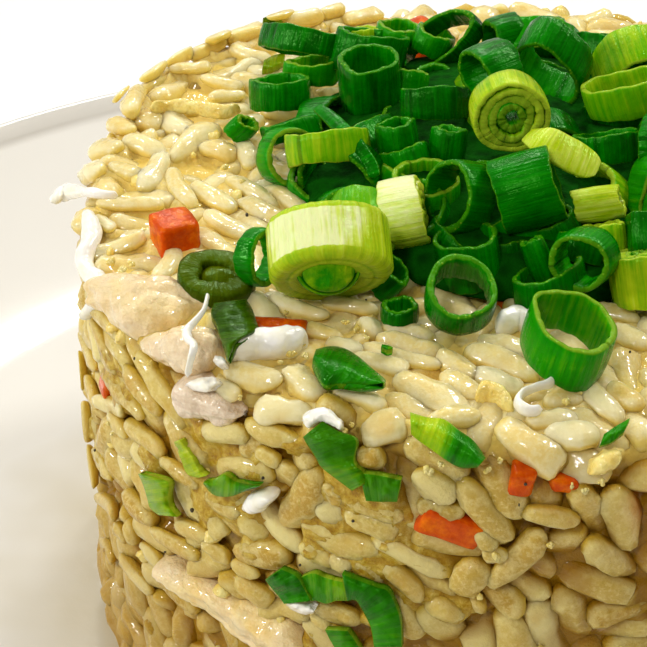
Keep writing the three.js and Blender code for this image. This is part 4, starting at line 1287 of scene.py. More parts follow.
def add_buried_slices(batch):
    rng = np.random.default_rng(5)
    for i in range(BURIED["count"]):
        r = BURIED["spread"] * math.sqrt((i + 0.5) / BURIED["count"])
        x = HEAP["x"] + r * HEAP["half_width"] * math.cos(i * GOLDEN_ANGLE)
        y = HEAP["y"] + r * HEAP["half_depth"] * math.sin(i * GOLDEN_ANGLE)
        lift = HEAP["core_height"] * math.sqrt(1 - r ** 2) * rng.uniform(0.45, 0.85) + 1.2
        if x < BURIED["near_side"][0] and y < BURIED["near_side"][1]:
            lift = min(lift, BURIED["near_lift"])
        row = (x, y, lift, rng.uniform(*BURIED["radius"]), rng.uniform(*BURIED["length"]),
               rng.uniform(0, 360), rng.uniform(*BURIED["tilt"]),
               rng.choice(BURIED["tones"], p=BURIED["shares"]),
               rng.uniform(0.03, 0.3), rng.uniform(0.03, 0.1))
        add_rule_slice(batch, row, 100 + i)


def add_strips(batch):
    """The loose strips that lie over the heap."""
    for seed, (tone, strip) in enumerate(HEAP_STRIPS):
        rows = np.array(strip, float)
        path = np.stack([in_picture(x, y, lift) for x, y, _, lift in rows])
        normals = np.tile(unit([-0.3, -0.45, 1.0]), (len(rows), 1))
        verts, tris, quads, marks = ribbon(path, normals, px_to_mm(rows[:, 2], path), thickness=0.5,
                                           steps=50, sides=24, square=9.0, camber=0.3, wander=0.4,
                                           seed=seed)
        batch.add(verts, tris, quads, marks, (tone, 0, 0))


def make_scraps():
    """A low dark dome of leaf bits that fills the heap between its slices; its darkness is partly
    painted shade.
    """
    sunk = 0.6
    points, tris = ball(4)
    whole = np.array([HEAP["half_width"], HEAP["half_depth"], HEAP["core_height"]])
    dome = points * (whole * HEAP["scraps"])
    dome = lumpy(dome, 1.1, 5.0, 3) + [HEAP["x"], HEAP["y"], MOUND_TOP]
    dome[:, 2] = np.maximum(dome[:, 2], MOUND_TOP - sunk)
    scraps = make_object("spring_onion_scraps", dome, [tris], shaded_scraps_material())
    finish_piece(scraps, "onion_fresh", "scallion_heap")


def make_heap(leaf):
    batch = Batch()
    for seed, row in enumerate(SHOWN_SLICES):
        add_shown_slice(batch, row, seed)
        pale, wide = row[7] > 0.6, row[3] > 30
        if pale and wide:
            add_leaves_within(batch, row, seed + 500)
    for seed, row in enumerate(OTHER_SLICES):
        add_rule_slice(batch, row, 200 + seed)
    add_strips(batch)
    add_buried_slices(batch)
    finish_piece(batch.build("spring_onion_heap", leaf), "onion_fresh", "scallion_heap")
    make_scraps()


def make_lone_slices(leaf):
    for seed, (node, row) in enumerate(LONE_SLICES.items()):
        batch = Batch()
        add_shown_slice(batch, row, 60 + seed)
        finish_piece(batch.build(node + "_slice", leaf), "onion_fresh", node)


def turned_form(profile, sides, width, depth):
    """A closed oval form about +Z from (radius share, height, 1 on a cut face, tone) rows, pole
    to pole. Points, quads, triangles, and for each point its cut, tone and mm round the form."""
    rows = np.array(profile, float)
    inner, poles = rows[1:-1], rows[[0, -1]]
    verts = revolve(inner[:, 0], inner[:, 1], sides).reshape(-1, 3) * [width, depth, 1]
    verts = np.concatenate([verts, poles[:, 1:2] * UP])
    cut, tone = np.concatenate([np.repeat(inner[:, 2:], sides, axis=0), poles[:, 2:]]).T
    around = np.concatenate([np.tile(circle(sides) * width, len(inner)), [0, 0]])
    quads, tris = tube_faces(len(inner), sides)
    return verts, quads, tris, cut, tone, around


def add_stem_skin(batch, at):
    """The stem's ribbed skin, and on both ends a rounded shoulder with the rims of two leaves."""
    half, ease = STEM["length"] / 2, STEM["shoulder"]
    shoulder = [(1 - 0.17 * (1 - math.cos(a)), half - ease * (1 - math.sin(a)), 0.2, 0.72)
                for a in np.linspace(0.15, math.pi / 2, 6)]
    rims = [(0.76, half - 0.02, 0.6, 0.70), (0.70, half - 0.12, 0.3, 0.60),
            (0.66, half - 0.02, 0.6, 0.72), (0.56, half - 0.10, 0.6, 0.66),
            (0.0, half - 0.5, 0.6, 0.5)]
    front = shoulder + rims
    skin = [(1.0, z, 0.0, 0.9) for z in np.linspace(-half + ease, half - ease, 10)]
    back = [(r, -z, cut, tone) for r, z, cut, tone in front[::-1]]
    verts, quads, tris, cut, tone, around = turned_form(back + skin + front, 120, STEM["radius"],
                                                        STEM["depth"])
    turn = np.arctan2(verts[:, 1], verts[:, 0])
    ribs = 0.045 * np.sin(37 * turn) + 0.05 * np.sin(23 * turn + 1) + 0.12 * np.sin(3 * turn + 0.5)
    on_skin = np.clip(np.hypot(verts[:, 0], verts[:, 1]) / STEM["depth"] - 0.75, 0, 0.2) * 5
    verts[:, :2] *= (1 + ribs * on_skin / STEM["radius"])[:, None]
    verts[:, 2] += 0.10 * np.sin(2 * turn + 1) * np.sign(verts[:, 2])
    world = placed(verts, at, direction(*STEM["axis"]))
    # Painted light: the skin is whiter on the side towards the light above and to the front left.
    facing = unit(world - at) @ unit(STEM["white_side"])
    streaks = noise(np.outer(around / 1.5, [1, 0, 0]), 1.0, 3)
    pale = np.clip((facing - 0.30 + 0.16 * streaks) / 0.40, 0, 1)
    tone = np.where(cut < 0.1, 0.70 + 0.30 * pale, tone)
    marks = np.column_stack([around, verts[:, 2], cut])
    batch.add(world, tris, quads, marks, np.outer(tone, [1, 0, 0]))


def add_stem_heart(batch, at):
    """The stem's heart: an inner leaf cut at its own slant, in a groove painted dark as shade."""
    wide, deep = STEM["heart"], STEM["heart_depth"]
    # Painted shade: the tone drops to its darkest at the bottom of the groove.
    rim = [(0.0, -1.5, 0, 0.1), (1.12, -1.2, 0, 0.1), (1.12, -0.25, 0, 0.12),
           (1.06, -0.02, 0, 0.42), (1.0, -0.02, 0, 0.45), (0.95, -0.28, 0, 0.0),
           (0.92, 0.05, 0, 0.12)]
    crown = [(r, 1.0 - 0.8 * r ** 4, 0, 0.36) for r in (0.86, 0.76, 0.64, 0.5, 0.34, 0.18, 0.0)]
    verts, quads, tris, cut, tone, _ = turned_form(rim + crown, 72, wide, deep)
    on_crown = (np.hypot(verts[:, 0] / wide, verts[:, 1] / deep) < 0.92) & (verts[:, 2] > -0.2)
    verts[:, 2] += np.where(on_crown, 0.20 * rough(verts, 1.0, 4), 0)
    tone = tone + np.where(on_crown, 0.22 * noise(verts, 0.8, 6), 0)
    out = direction(*STEM["axis"]) * (STEM["length"] / 2 + 0.55) + STEM["heart_shift"]
    world = placed(verts, at + out, direction(*STEM["heart_axis"]))
    batch.add(world, tris, quads, np.column_stack([verts[:, 0], 12 * verts[:, 1], cut]),
              np.column_stack([tone + 0.1, 0 * tone, 0 * tone + 0.1]))


def make_stem(leaf):
    """The thick pale stem slice with a rough heart that stands out of it."""
    batch = Batch()
    at = np.array(STEM["at"]) + [0, 0, MOUND_TOP]
    add_stem_skin(batch, at)
    add_stem_heart(batch, at)
    finish_piece(batch.build("spring_onion_stem", leaf), "onion_pale", "scallion_stem")


# ------------------------------------------------------------------ the other pieces
# Pieces on the sides out of the picture, set where their nodes are. Strips have half a length, the
# turn of the first and how much more each next one is turned, the height of the middle over the
# mould's surface, and widths along the strip.
AWAY_DICE = (4.8, 4.1, 3.6)
AWAY_STRIPS = dict(
    chicken=dict(reach=4.6, first=-0.9, turn=0.8, face=-1.4, widths=(2.5, 5.0, 6.0, 4.8, 2.5)),
    egg=dict(reach=2.8, first=0.0, turn=1.1, face=-0.7, widths=(1.4, 3.6, 3.2, 1.2)),
    onion=dict(reach=3.6, first=-1.0, turn=0.7, face=0.2, widths=(3.0, 3.4, 3.6, 3.3, 2.8)),
)


def finish_piece(piece, slot, *nodes):
    """Rides on the only body and stands for its nodes. slot is not used."""
    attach(piece, "root")
    if nodes:
        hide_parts(*nodes)


def nodes_like(start):
    return [name for name in sorted(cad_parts) if name.startswith(start)]


def away_middles(start):
    """The middles of the nodes on the sides out of the picture."""
    boxes = [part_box(node) for node in nodes_like(start + "_away")]
    return [(np.array(low) + np.array(high)) / 2 / MM for low, high in boxes]


def outward_at(middle):
    """The directions out of the mound's side and along it."""
    outward = unit(middle * [1, 1, 0])
    return outward, np.cross(UP, outward)


def away_strips(start):
    """Middle line, normals and widths of each strip on the sides out of the picture."""
    form, rows = AWAY_STRIPS[start], []
    widths = np.array(form["widths"])
    stations = np.linspace(-form["reach"], form["reach"], len(widths))[:, None]
    for k, middle in enumerate(away_middles(start)):
        turn = form["first"] + form["turn"] * k
        way = math.cos(turn) * outward_at(middle)[1] + math.sin(turn) * UP
        points = middle + stations * way
        height, normal = mound_surface(points)
        rows.append((points + normal * (form["face"] - height)[:, None], normal, widths))
    return rows


def dice_form(size, seed):
    """A cut cube with eased edges and slightly bowed faces."""
    steps, ease, skew_by, bow = 9, 0.42, 0.09, 0.16
    grid = np.linspace(-1, 1, steps)
    a, b = [m.ravel() for m in np.meshgrid(grid, grid, indexing="ij")]
    i, j = [m.ravel() for m in np.meshgrid(range(steps - 1), range(steps - 1), indexing="ij")]
    square = np.stack([i * steps + j, (i + 1) * steps + j, (i + 1) * steps + j + 1,
                       i * steps + j + 1], -1)
    verts, quads = [], []
    for axis in range(3):
        for sign in (-1, 1):
            quads.append((square if sign > 0 else square[:, ::-1]) + len(a) * len(verts))
            verts.append(np.roll(np.stack([sign + 0 * a, a, b], -1), axis, axis=1))
    verts, quads = np.concatenate(verts), np.concatenate(quads)
    half = np.array(size) / 2
    full = verts * half
    inner = np.clip(full, ease - half, half - ease)
    eased = np.linalg.norm(full - inner, axis=1) > 1e-6
    verts = inner + unit(full - inner) * ease * eased[:, None]
    skew = np.random.default_rng(seed).normal(0, skew_by, 6)
    verts = verts + np.stack([skew[0] * verts[:, 1] + skew[1] * verts[:, 2],
                              skew[2] * verts[:, 0] + skew[3] * verts[:, 2],
                              skew[4] * verts[:, 0] + skew[5] * verts[:, 1]], -1)
    # points that two faces share become one
    _, first, back = np.unique(np.round(verts, 4), axis=0, return_index=True, return_inverse=True)
    verts, quads = verts[first], back.reshape(-1)[quads]
    return verts + unit(verts) * (bow * rough(verts + seed * 9.0, 1.8, 2))[:, None], quads


def dice_rows():
    """Each die: its place, outward and sideways directions, turn and size."""
    rows = [(*seat(on, at, out), math.radians(turn), size)
            for on, at, out, turn, size in DICE.values()]
    away = [(middle, *outward_at(middle), 0.9 * k, AWAY_DICE)
            for k, middle in enumerate(away_middles("carrot"))]
    return rows + away


def make_carrots():
    batch = Batch()
    for seed, (place, outward, sideways, turn, size) in enumerate(dice_rows()):
        verts, quads = dice_form(size, seed)
        along = math.cos(turn) * sideways + math.sin(turn) * np.cross(outward, sideways)
        axes = np.stack([along, np.cross(outward, along), outward])
        batch.add(place + verts @ axes, quads=quads)
    finish_piece(batch.build("carrot_dice", carrot_material()), "carrot", *nodes_like("carrot"))


def from_middle(verts, marks):
    """Directions away from the middle of each point's ring, by the mark that counts along."""
    _, index = np.unique(np.round(marks[:, 0], 4), return_inverse=True)
    index = index.reshape(-1)
    total = np.stack([np.bincount(index, verts[:, k]) for k in range(3)], 1)
    return unit(verts - (total / np.bincount(index)[:, None])[index])


def fibrous(verts, marks, amount, seed):
    """Furrows along a piece of chicken, and lumps all over it."""
    along, across = marks[:, 0] / 7.0, marks[:, 1] / 0.8
    furrow = noise(np.column_stack([across, along, 0 * along]), 1.0, seed)
    lumps = (0.7 * noise(verts, 6.0, seed + 9) + 0.4 * rough(verts, 2.4, seed + 5)
             + 0.42 * rough(verts, 1.2, seed + 7))
    return verts + from_middle(verts, marks) * (amount * furrow + lumps)[:, None]


def chicken_rows():
    """Chicken pieces: middle line, normals, widths, thickness, how pale, and points around."""
    rows = [(*traced(points, thickness, face), thickness, pale, 64)
            for strips in CHICKEN.values() for points, thickness, face, pale in strips]
    away = [(*strip, 4.4, 0.3 * (k % 2), 40) for k, strip in enumerate(away_strips("chicken"))]
    return rows + away


def make_chicken():
    batch = Batch()
    for seed, (path, normal, width, thickness, pale, fine) in enumerate(chicken_rows()):
        verts, tris, quads, marks = ribbon(path, normal, width, thickness, steps=fine, sides=fine,
                                           square=2.6, camber=0.2, wander=0.4, seed=seed)
        verts = fibrous(verts, marks, 0.25 + 0.65 * pale, seed)
        batch.add(verts, tris, quads, marks[:, [1, 0, 2]] * [1, 1, 0], (0, pale, 0))
    finish_piece(batch.build("chicken_pieces", chicken_material()), "chicken",
                 *nodes_like("chicken"))


def egg_rows():
    """Egg strips: whether it is yolk, middle line, normals, widths and thickness."""
    rows = [("yolk" in node, *traced(points, thickness, face), thickness)
            for node, (points, thickness, face) in STRIPS.items()]
    return rows + [(k % 2 == 1, *strip, 2.8) for k, strip in enumerate(away_strips("egg"))]


def add_egg_crumbs(batch):
    """Clusters of yolk crumbs where the picture has them."""
    points, tris = ball(1)
    rng = np.random.default_rng(31)
    for seed, (px, py, across) in enumerate(EGG_CRUMBS):
        place, normal = on_mound((px, py), 0.1)
        radius = px_to_mm(across / 2, place)
        for _ in range(8):
            size = radius * rng.uniform(0.30, 0.60)
            offset = unit(rng.normal(0, 1, 3)) * radius * rng.uniform(0.2, 0.75)
            offset = offset - normal * dot(offset, normal) * 0.7
            form = lumpy(points * rng.uniform(0.7, 1.3, 3) * size, 0.45 * size, 0.8 * size, seed)
            batch.add(form + place + offset, tris)


def make_egg(white, yolk):
    whites, yolks = Batch(), Batch()
    for seed, (crumbly, path, normal, width, thickness) in enumerate(egg_rows()):
        verts, tris, quads, marks = ribbon(path, normal, width, thickness, steps=48, sides=24,
                                           square=2.3, camber=0.15, wander=0.5, seed=seed)
        relief = 0.45 * rough(verts, 1.3, seed) if crumbly else 0.42 * rough(verts, 2.0, seed)
        relief = relief * min(1.0, thickness / 1.8)
        verts = verts + from_middle(verts, marks) * relief[:, None]
        (yolks if crumbly else whites).add(verts, tris, quads)
    for seed, (rows, face, ragged) in enumerate(EGG_FLAKES):
        verts, tris, quads, _ = sheet(rows, face, 0.5, 0.9, seed + 40, 3.0 * ragged)
        whites.add(verts, tris, quads)
    add_egg_crumbs(yolks)
    finish_piece(whites.build("egg_white_pieces", white), "egg_white",
                 *[node for node in nodes_like("egg") if "yolk" not in node])
    finish_piece(yolks.build("egg_yolk_pieces", yolk), "egg_yolk", *nodes_like("egg_yolk"))


def leaf_rows():
    """Leaf pieces of the picture: edge rows, height of the outer face, bow, two tones, cooked."""
    return [row for rows in LEAVES.values() for row in rows] + LEAF_BITS


def sheet(rows, face, bow, thickness, seed, ragged=0.0):
    """A thin piece between two edges that are drawn through the picture, with straight cut
    ends. Points, triangles, quads, and (mm along, mm across, 1 on a cut edge)."""
    steps = np.array([0, 0.015, *np.linspace(0.05, 0.95, 25), 0.985, 1])
    across = np.array([0, 0.03, *np.linspace(0.10, 0.90, 9), 0.97, 1])
    fine = smooth_path(rows, 101)
    edge = np.stack([np.interp(steps, np.linspace(0, 1, 101), fine[:, k]) for k in range(4)], 1)
    px = edge[:, None, :2] * (1 - across[:, None]) + edge[:, None, 2:] * across[:, None]
    spot = np.concatenate([px / 9.0, np.full((*px.shape[:2], 1), seed * 3.7)], -1)
    px = px + ragged * np.stack([rough(spot, 0.8, 1), rough(spot, 0.8, 5)], -1)
    crown = bow * (1 - (2 * across - 1) ** 2)
    crown = crown + 0.22 * noise(spot, 1.0, 3) + 0.10 * noise(spot, 0.35, 4)
    outer, normal = on_mound(px, face - bow * 0.5 + crown)
    inner = outer - normal * thickness
    last_edge, first_edge = ((outer[:, k] + inner[:, k])[:, None] / 2 for k in (-1, 0))
    ring = np.concatenate([outer, last_edge, inner[:, ::-1], first_edge], 1)
    run = run_along(outer[:, len(across) // 2])
    over = across * np.linalg.norm(outer[:, -1] - outer[:, 0], axis=1)[:, None]
    cut = np.clip(np.isin(across, (0, 1)) + np.isin(steps, (0, 1))[:, None], 0, 1.0)
    face_marks = np.stack([np.broadcast_to(run[:, None], over.shape), over, cut], -1)
    rim = np.stack([run, 0 * run, 1 + 0 * run], -1)[:, None]
    marks = np.concatenate([face_marks, rim, face_marks[:, ::-1], rim], 1).reshape(-1, 3)
    n, size, end = len(across), ring.shape[1], ring.shape[1] * (len(steps) - 1)
    k = np.arange(n - 1)
    cap = np.stack([k, k + 1, 2 * n - k - 1, 2 * n - k], -1)
    corner = np.array([[n - 1, n, n + 1], [2 * n, 2 * n + 1, 0]])
    quads = np.concatenate([tube_faces(len(steps), size)[0], cap[:, ::-1], cap + end])
    return ring.reshape(-1, 3), np.concatenate([corner[:, ::-1], corner + end]), quads, marks


def add_cooked_ring(batch):
    """The cooked slice that lies flat beside the stem, with its soft inside."""
    at, axis = (216.5, 281.0), direction(-70, 78)
    place, _ = on_mound(at, 0.6)
    verts, quads, marks, looks = ring_form(3.25, 2.2, 0.10, 0.08, 0.05, 77, wall=1.9, cooked=1.0)
    batch.add(placed(verts, place, axis), quads=quads, mark=marks, look=looks)
    points, tris = ball(3)
    soft = lumpy(points * [1.7, 1.5, 0.9], 0.25, 1.0, 78)
    batch.add(placed(soft, place + [0.3, 0.2, 0.1], axis), tris, mark=points * [1, 1, 0],
              look=(0.30, 0, 1.0))


def make_cooked_leaves(leaf):
    batch = Batch()
    thickness = 0.6
    for seed, (rows, face, bow, tone, last_tone, cooked) in enumerate(leaf_rows()):
        verts, tris, quads, marks = sheet(rows, face, bow, thickness, seed)
        share = marks[:, 0] / marks[:, 0].max()
        fade = tone + (last_tone - tone) * np.clip((share - 0.45) / 0.2, 0, 1)
        look = np.column_stack([fade, 0 * fade, cooked + 0 * fade])
        batch.add(verts, tris, quads, marks, look)
    for seed, (path, normal, width) in enumerate(away_strips("onion")):
        verts, tris, quads, marks = ribbon(path, normal, width, thickness, steps=40, sides=22,
                                           square=9.0, camber=0.4, wander=0.35, seed=seed)
        batch.add(verts, tris, quads, marks, (0.15 + 0.1 * seed, 0, 0.25))
    add_cooked_ring(batch)
    finish_piece(batch.build("spring_onion_cooked", leaf), "onion_cooked", *nodes_like("onion"))


def on_drum(angle, height):
    """A place on the mound's bare side."""
    return MOUND["radius"] * direction(math.degrees(angle), 0) + height * UP


def make_pepper():
    """Specks where the picture has them, and some more all round the side."""
    more, mm_per_px = 14, 0.055
    batch = Batch()
    points, tris = ball(1)
    rng = np.random.default_rng(13)
    spots = [(on_mound((x, y), 0.35)[0], size) for x, y, size in PEPPER]
    for _ in range(more):
        place = on_drum(rng.uniform(0, 2 * np.pi), rng.uniform(WELL_TOP + 3, MOUND_TOP - 3))
        spots.append((place, rng.uniform(2.5, 5)))
    for place, size in spots:
        form = points * rng.uniform(0.5, 1.0, 3) * size * mm_per_px
        batch.add(lumpy(form, 0.08, 0.3, int(size * 7)) + place, tris)
    finish_piece(batch.build("pepper_specks", pepper_material()), "rice")


# ------------------------------------------------------------------ rice
# The paste, as values on the side and on top of the mound: how far grains lift it, how deep it
# lies where a joint is filled and where it is open, and its lowest, in mm; and how open it is.
PASTE = dict(lifted=(0.35, 0.08), filled=(0.15, 0.52), opened=(1.3, 0.9), lowest=(-1.9, -1.5),
             openness=(0.22, -0.28))
PASTE_HIGHEST = 0.45


def make_room(grains):
    """Takes the room of every other piece, so that the grains lie round it."""
    share, leaf_reach, stations = 0.42, 1.3, np.linspace(0, 1, 7)
    for path, _, width, *_ in chicken_rows():
        radii = np.interp(stations, np.linspace(0, 1, len(width)), width) * share + 0.1
        block_paths(grains, smooth_path(path, len(stations)), radii)
    for _, path, _, width, thickness in egg_rows():
        if thickness > 2:
            block_paths(grains, path, width * share)
    for rows, *_ in leaf_rows():
        rows = np.array(rows, float)
        line, _ = on_mound((rows[:, :2] + rows[:, 2:]) / 2, -0.6)
        width = px_to_mm(np.linalg.norm(rows[:, :2] - rows[:, 2:], axis=1), line)
        block_paths(grains, line, np.minimum(width * 0.4, leaf_reach))
    for path, _, width in away_strips("onion"):
        block_paths(grains, path, np.minimum(width * 0.4, leaf_reach))
    for place, _, sideways, _, size in dice_rows():
        reach = np.array([-0.2, 0.2])[:, None] * size[0]
        block_paths(grains, place + reach * sideways, np.full(2, 0.5 * size[1]))


def pack_grains(rng):
    grains = Grains()
    shown_grains(grains)
    spread_grains(grains, rng)
    make_room(grains)
    grains.close()
    for rounds, limit in ((170, 0.55), (40, 0.60)):
        settle(grains, rounds)
        thin_out(grains, limit)
    return grains


def room_to_stand(grains, chosen, kind, rng):
    """How far each grain may stand out of the mould, and how softly it is pressed: more on top
    and near the rim, and most for the grains on top that the picture shows."""
    slack = rng.uniform(-0.15, 0.25, len(chosen)) + (0.0 if kind == SIDE else 0.25)
    slack = np.where((grains.free[chosen] < 1) & (kind == TOP), 0.8, slack)
    near_rim = np.clip((grains.middle[chosen, 2] - MOUND_TOP + 8) / 4, 0, 1)
    return (slack + 0.3 * near_rim)[:, None], (0.3 + 0.6 * near_rim)[:, None]


def make_rice():
    """A piece of grains for each kind, pressed flush with the mould, and the paste."""
    rng = np.random.default_rng(2)
    grains = pack_grains(rng)
    for kind, name, rings, sides, look in ((SIDE, "rice_side", 9, 12, SIDE_RICE_PAINTED_SHADE),
                                           (TOP, "rice_top", 12, 14, WET_RICE_PAINTED_LIGHT),
                                           (BELOW, "rice_below", 6, 7, SIDE_RICE_PAINTED_SHADE)):
        chosen = np.nonzero(grains.kind == kind)[0]
        points, facing, tris, quads = grain_meshes(grains, chosen, rings, sides, rng)
        points = press(points, *room_to_stand(grains, chosen, kind, rng))
        depth = np.clip(-mound_surface(points)[0], 0, 6)
        draw = rng.uniform(0, 1, len(chosen))[:, None] + 0 * depth
        piece = make_object(name, points, [tris, quads], rice_material(name, look),
                            mark=np.stack([draw, facing, depth], -1))
        finish_piece(piece, "rice", "rice")
    make_filling(grains)


def skin_grid():
    """Rows of points on the mould's surface from the plate up the side and over the top."""
    columns, step, top_step, hub = 566, 0.5, 0.7, 5.5
    radius, rim = MOUND["radius"], MOUND["rim_round"]
    shoulder = MOUND_TOP - rim
    side = np.arange(LOWEST, shoulder, step)
    arc = np.linspace(0.06, math.pi / 2, 12)
    top = np.arange(radius - rim - 0.55, hub, -top_step)
    r = np.concatenate([np.full(len(side), radius), radius - rim + rim * np.cos(arc), top])
    z = np.concatenate([side, shoulder + rim * np.sin(arc), np.full(len(top), MOUND_TOP)])
    return revolve(r, z, columns)


def cover(g, grid, normal):
    """Height of the topmost grain over the mould's surface at each grid point."""
    nothing, slim = -3.0, 0.92
    height = np.full(grid.shape[:2], nothing)
    angle = np.arctan2(grid[0, :, 1], grid[0, :, 0])
    row_radius, row_height = np.hypot(grid[:, 0, 0], grid[:, 0, 1]), grid[:, 0, 2]
    for m, w, h, r in zip(g.middle, g.way, g.half, g.radius * slim):
        # the rows and columns of the grid that the grain can reach
        reach = h + r + 0.6
        flat = max(math.hypot(m[0], m[1]), 4.0)
        turn = np.abs((angle - math.atan2(m[1], m[0]) + np.pi) % (2 * np.pi) - np.pi)
        columns = np.nonzero(turn < min(3.2, reach / flat * 1.25))[0]
        rows = np.nonzero(np.hypot(row_radius - flat, row_height - m[2]) < reach + 2.5)[0]
        if not len(columns) or not len(rows):
            continue
        patch = np.ix_(rows, columns)
        p, n = grid[patch], normal[patch]
        d = w - n * dot(n, w)[..., None]
        gap = p - m
        flat_gap = gap - n * dot(gap, n)[..., None]
        t = np.clip(dot(flat_gap, d) / np.maximum(dot(d, d), 1e-6), -h, h)
        off = np.linalg.norm(flat_gap - d * t[..., None], axis=-1)
        over = dot(m + w * t[..., None] - p, n) + np.sqrt(np.maximum(r * r - off * off, 0))
        height[patch] = np.maximum(height[patch], np.where(off < r, over, nothing))
    return height


def closed(height, radius, step=0.5):
    """Fills the hollows that a ball of this radius can't reach."""
    reach = int(radius / step)
    steps = [(i, j, math.sqrt(max(radius ** 2 - (i * i + j * j) * step ** 2, 0.0)) - radius)
             for i in range(-reach, reach + 1) for j in range(-reach, reach + 1)
             if (i * i + j * j) * step ** 2 <= radius ** 2]

    def shifted(values, i, j):
        moved = np.roll(values, j, axis=1)
        rows = np.clip(np.arange(len(values)) - i, 0, len(values) - 1)
        return moved[rows]

    raised = np.max([shifted(height, i, j) + drop for i, j, drop in steps], axis=0)
    return np.min([shifted(raised, i, j) - drop for i, j, drop in steps], axis=0)


def make_filling(g):
    """The starchy paste that joins the grains: a skin that dips between them, brown where deep."""
    grid = skin_grid()
    _, normal = mound_surface(grid)
    height = cover(g, grid, normal)
    upward = np.clip(normal[..., 2] * 1.4 - 0.2, 0, 1)
    here = {name: on_side + (on_top - on_side) * upward
            for name, (on_side, on_top) in PASTE.items()}
    # most joints are filled nearly level; in the rest the paste lies deep between the grains
    level = closed(np.minimum(height, here["lifted"]), 1.3) - here["filled"]
    deep = closed(height, 0.5) - here["opened"]
    pits = noise(grid, 7.0, 8) + 0.8 * noise(grid, 2.6, 9) + here["openness"]
    open_share = np.clip(0.5 + pits * 2.5, 0, 1)
    skin = np.clip(level + (deep - level) * open_share, here["lowest"], PASTE_HIGHEST)
    lumps = 0.10 + 0.25 * open_share + 0.20 * open_share * upward
    skin = skin + lumps * noise(grid, 1.3, 10) + 0.05 * noise(grid, 0.8, 11)
    verts = grid + normal * skin[..., None]
    verts[..., 2] = np.maximum(verts[..., 2], PASTE_FLOOR)
    mark = np.stack([0 * skin, upward, np.clip(-skin, 0, 3)], -1)
    # one point closes the skin underneath, and one on top under the heap
    verts = np.concatenate([verts.reshape(-1, 3), [PASTE_FLOOR * UP, (MOUND_TOP - 0.8) * UP]])
    mark = np.concatenate([mark.reshape(-1, 3), [[0, 0.5, 2], [0, 0.5, 1]]])
    quads, tris = tube_faces(*grid.shape[:2])
    piece = make_object("rice_filling", verts, [tris, quads], filling_material(), mark=mark)
    finish_piece(piece, "rice", "rice")


def make_crumbs(yolk):
    """Crumbs of egg and starch in the gaps between the grains."""
    on_side_count, on_top_count = 150, 70
    rng = np.random.default_rng(17)
    points, tris = ball(1)
    batch = Batch()
    for k in range(on_side_count + on_top_count):
        angle = rng.uniform(0, 2 * np.pi)
        if k < on_side_count:
            place = on_drum(angle, rng.uniform(WELL_TOP + 1.2, MOUND_TOP - 1))
        else:
            reach = (MOUND["radius"] - 2) * math.sqrt(rng.uniform(0, 1))
            place = reach * direction(math.degrees(angle), 0) + MOUND_TOP * UP
        height, normal = mound_surface(place)
        size = rng.uniform(0.35, 1.0)
        place = place - normal * (height + rng.uniform(0.5, 1.5))
        form = points * rng.uniform(0.6, 1.3, 3) * size
        form = lumpy(form, 0.6 * size, 0.8 * size, k % 50) + place
        form[:, 2] = np.maximum(form[:, 2], LOWEST)
        batch.add(form, tris)
    finish_piece(batch.build("egg_crumbs", yolk), "egg_yolk", "rice")


# ------------------------------------------------------------------ plate, floor and light


def plate_profile():
    """Radius and height from the middle underneath, out to the lip and back to the middle."""
    lip, well, outer = PLATE["lip"], PLATE["well_radius"], PLATE["radius"] - PLATE["lip"]
    foot, base, draft = PLATE["foot_radius"], PLATE["foot_height"], PLATE["foot_draft"]
    inner = foot - PLATE["foot_width"]
    tip = PLATE["height"] - lip

    def flare(shares, lift):
        """The wall's curve, flat at the well and steepest at the lip."""
        return [(well + (outer - well) * t, lift + (tip - WELL_TOP) * t ** 1.5) for t in shares]

    ease = 0.6  # of the foot's edges
    ring = [(inner - draft, base), (inner - ease / 2, ease), (inner + ease, 0.0),
            (foot - ease, 0.0), (foot + ease / 2, ease), (foot + draft, base)]
    below = flare(np.linspace(0.05, 0.95, 14), base + draft)
    edge = [(outer + lip * math.cos(a), tip + lip * math.sin(a))
            for a in np.linspace(-1.0, math.pi / 2 + 0.3, 9)]
    above = flare(np.linspace(0.97, 0.0, 24), WELL_TOP)
    middle = [(r, WELL_TOP) for r in (68, 60, 50, 40, 25, 10)]
    return np.array([(foot * 0.3, base), *ring, *below, *edge, *above, *middle])


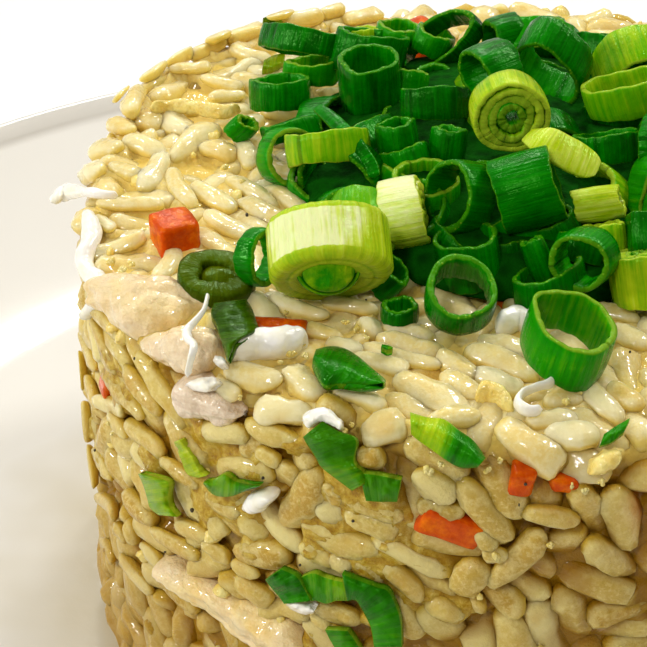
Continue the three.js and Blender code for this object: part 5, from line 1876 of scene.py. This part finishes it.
def make_plate():
    rows, sides = plate_profile(), PLATE["segments"]
    verts = revolve(rows[:, 0], rows[:, 1], sides).reshape(-1, 3)
    verts = np.concatenate([verts, [PLATE["foot_height"] * UP, WELL_TOP * UP]])
    quads, tris = tube_faces(len(rows), sides)
    finish_piece(make_object("plate_glazed", verts, [tris, quads], glaze_material()), "glaze",
                 "plate")


def make_stage():
    corners = np.array([[-1, -1, 0], [1, -1, 0], [1, 1, 0], [-1, 1, 0]]) * FLOOR - [0, 0, 0.05]
    make_object("floor", corners, [np.array([[0, 1, 2, 3]])], floor_material())


def make_lamp(name, at, width, power):
    data = bpy.data.lights.new(name, "AREA")
    data.size = width * MM
    data.energy = power
    data.color = LAMP_COLOUR
    light = bpy.data.objects.new(name, data)
    light.location = Vector(at) * MM
    light.rotation_euler = (Vector(LAMPS_AIM) - Vector(at)).to_track_quat("-Z", "Y").to_euler()
    bpy.context.scene.collection.objects.link(light)


def make_light():
    """Six small lamps round the mound and above it, and the sky."""
    for name, (at, width, power) in LAMPS.items():
        make_lamp(name, at, width, power)
    world = bpy.data.worlds.new("studio")
    n = Nodes(world)
    coords = n.node("TexCoord").outputs["Generated"]
    towards = n.node("VectorMath", (coords, unit(SKY["side"])), operation="DOT_PRODUCT")
    share = n.span(towards.outputs["Value"], SKY["dim_at"], SKY["bright_at"])
    back = n.tree.nodes["Background"]
    n.put(back, "Color", n.ramp(share, (0.0, SKY["dim"]), (1.0, SKY["bright"])))
    n.put(back, "Strength", SKY["strength"])
    bpy.context.scene.world = world
    view = bpy.context.scene.view_settings
    view.view_transform = "Standard"
    view.look = "None"
    view.exposure = 0.0


# ------------------------------------------------------------------ the dish
make_camera()
LEAF = leaf_material()
YOLK = egg_material("egg_yolk", YOLK_LOOK)
WHITE = egg_material("egg_white", WHITE_LOOK)
make_rice()
make_crumbs(YOLK)
make_carrots()
make_chicken()
make_egg(WHITE, YOLK)
make_cooked_leaves(LEAF)
make_pepper()
make_stem(LEAF)
make_lone_slices(LEAF)
make_heap(LEAF)
make_plate()
make_stage()
make_light()
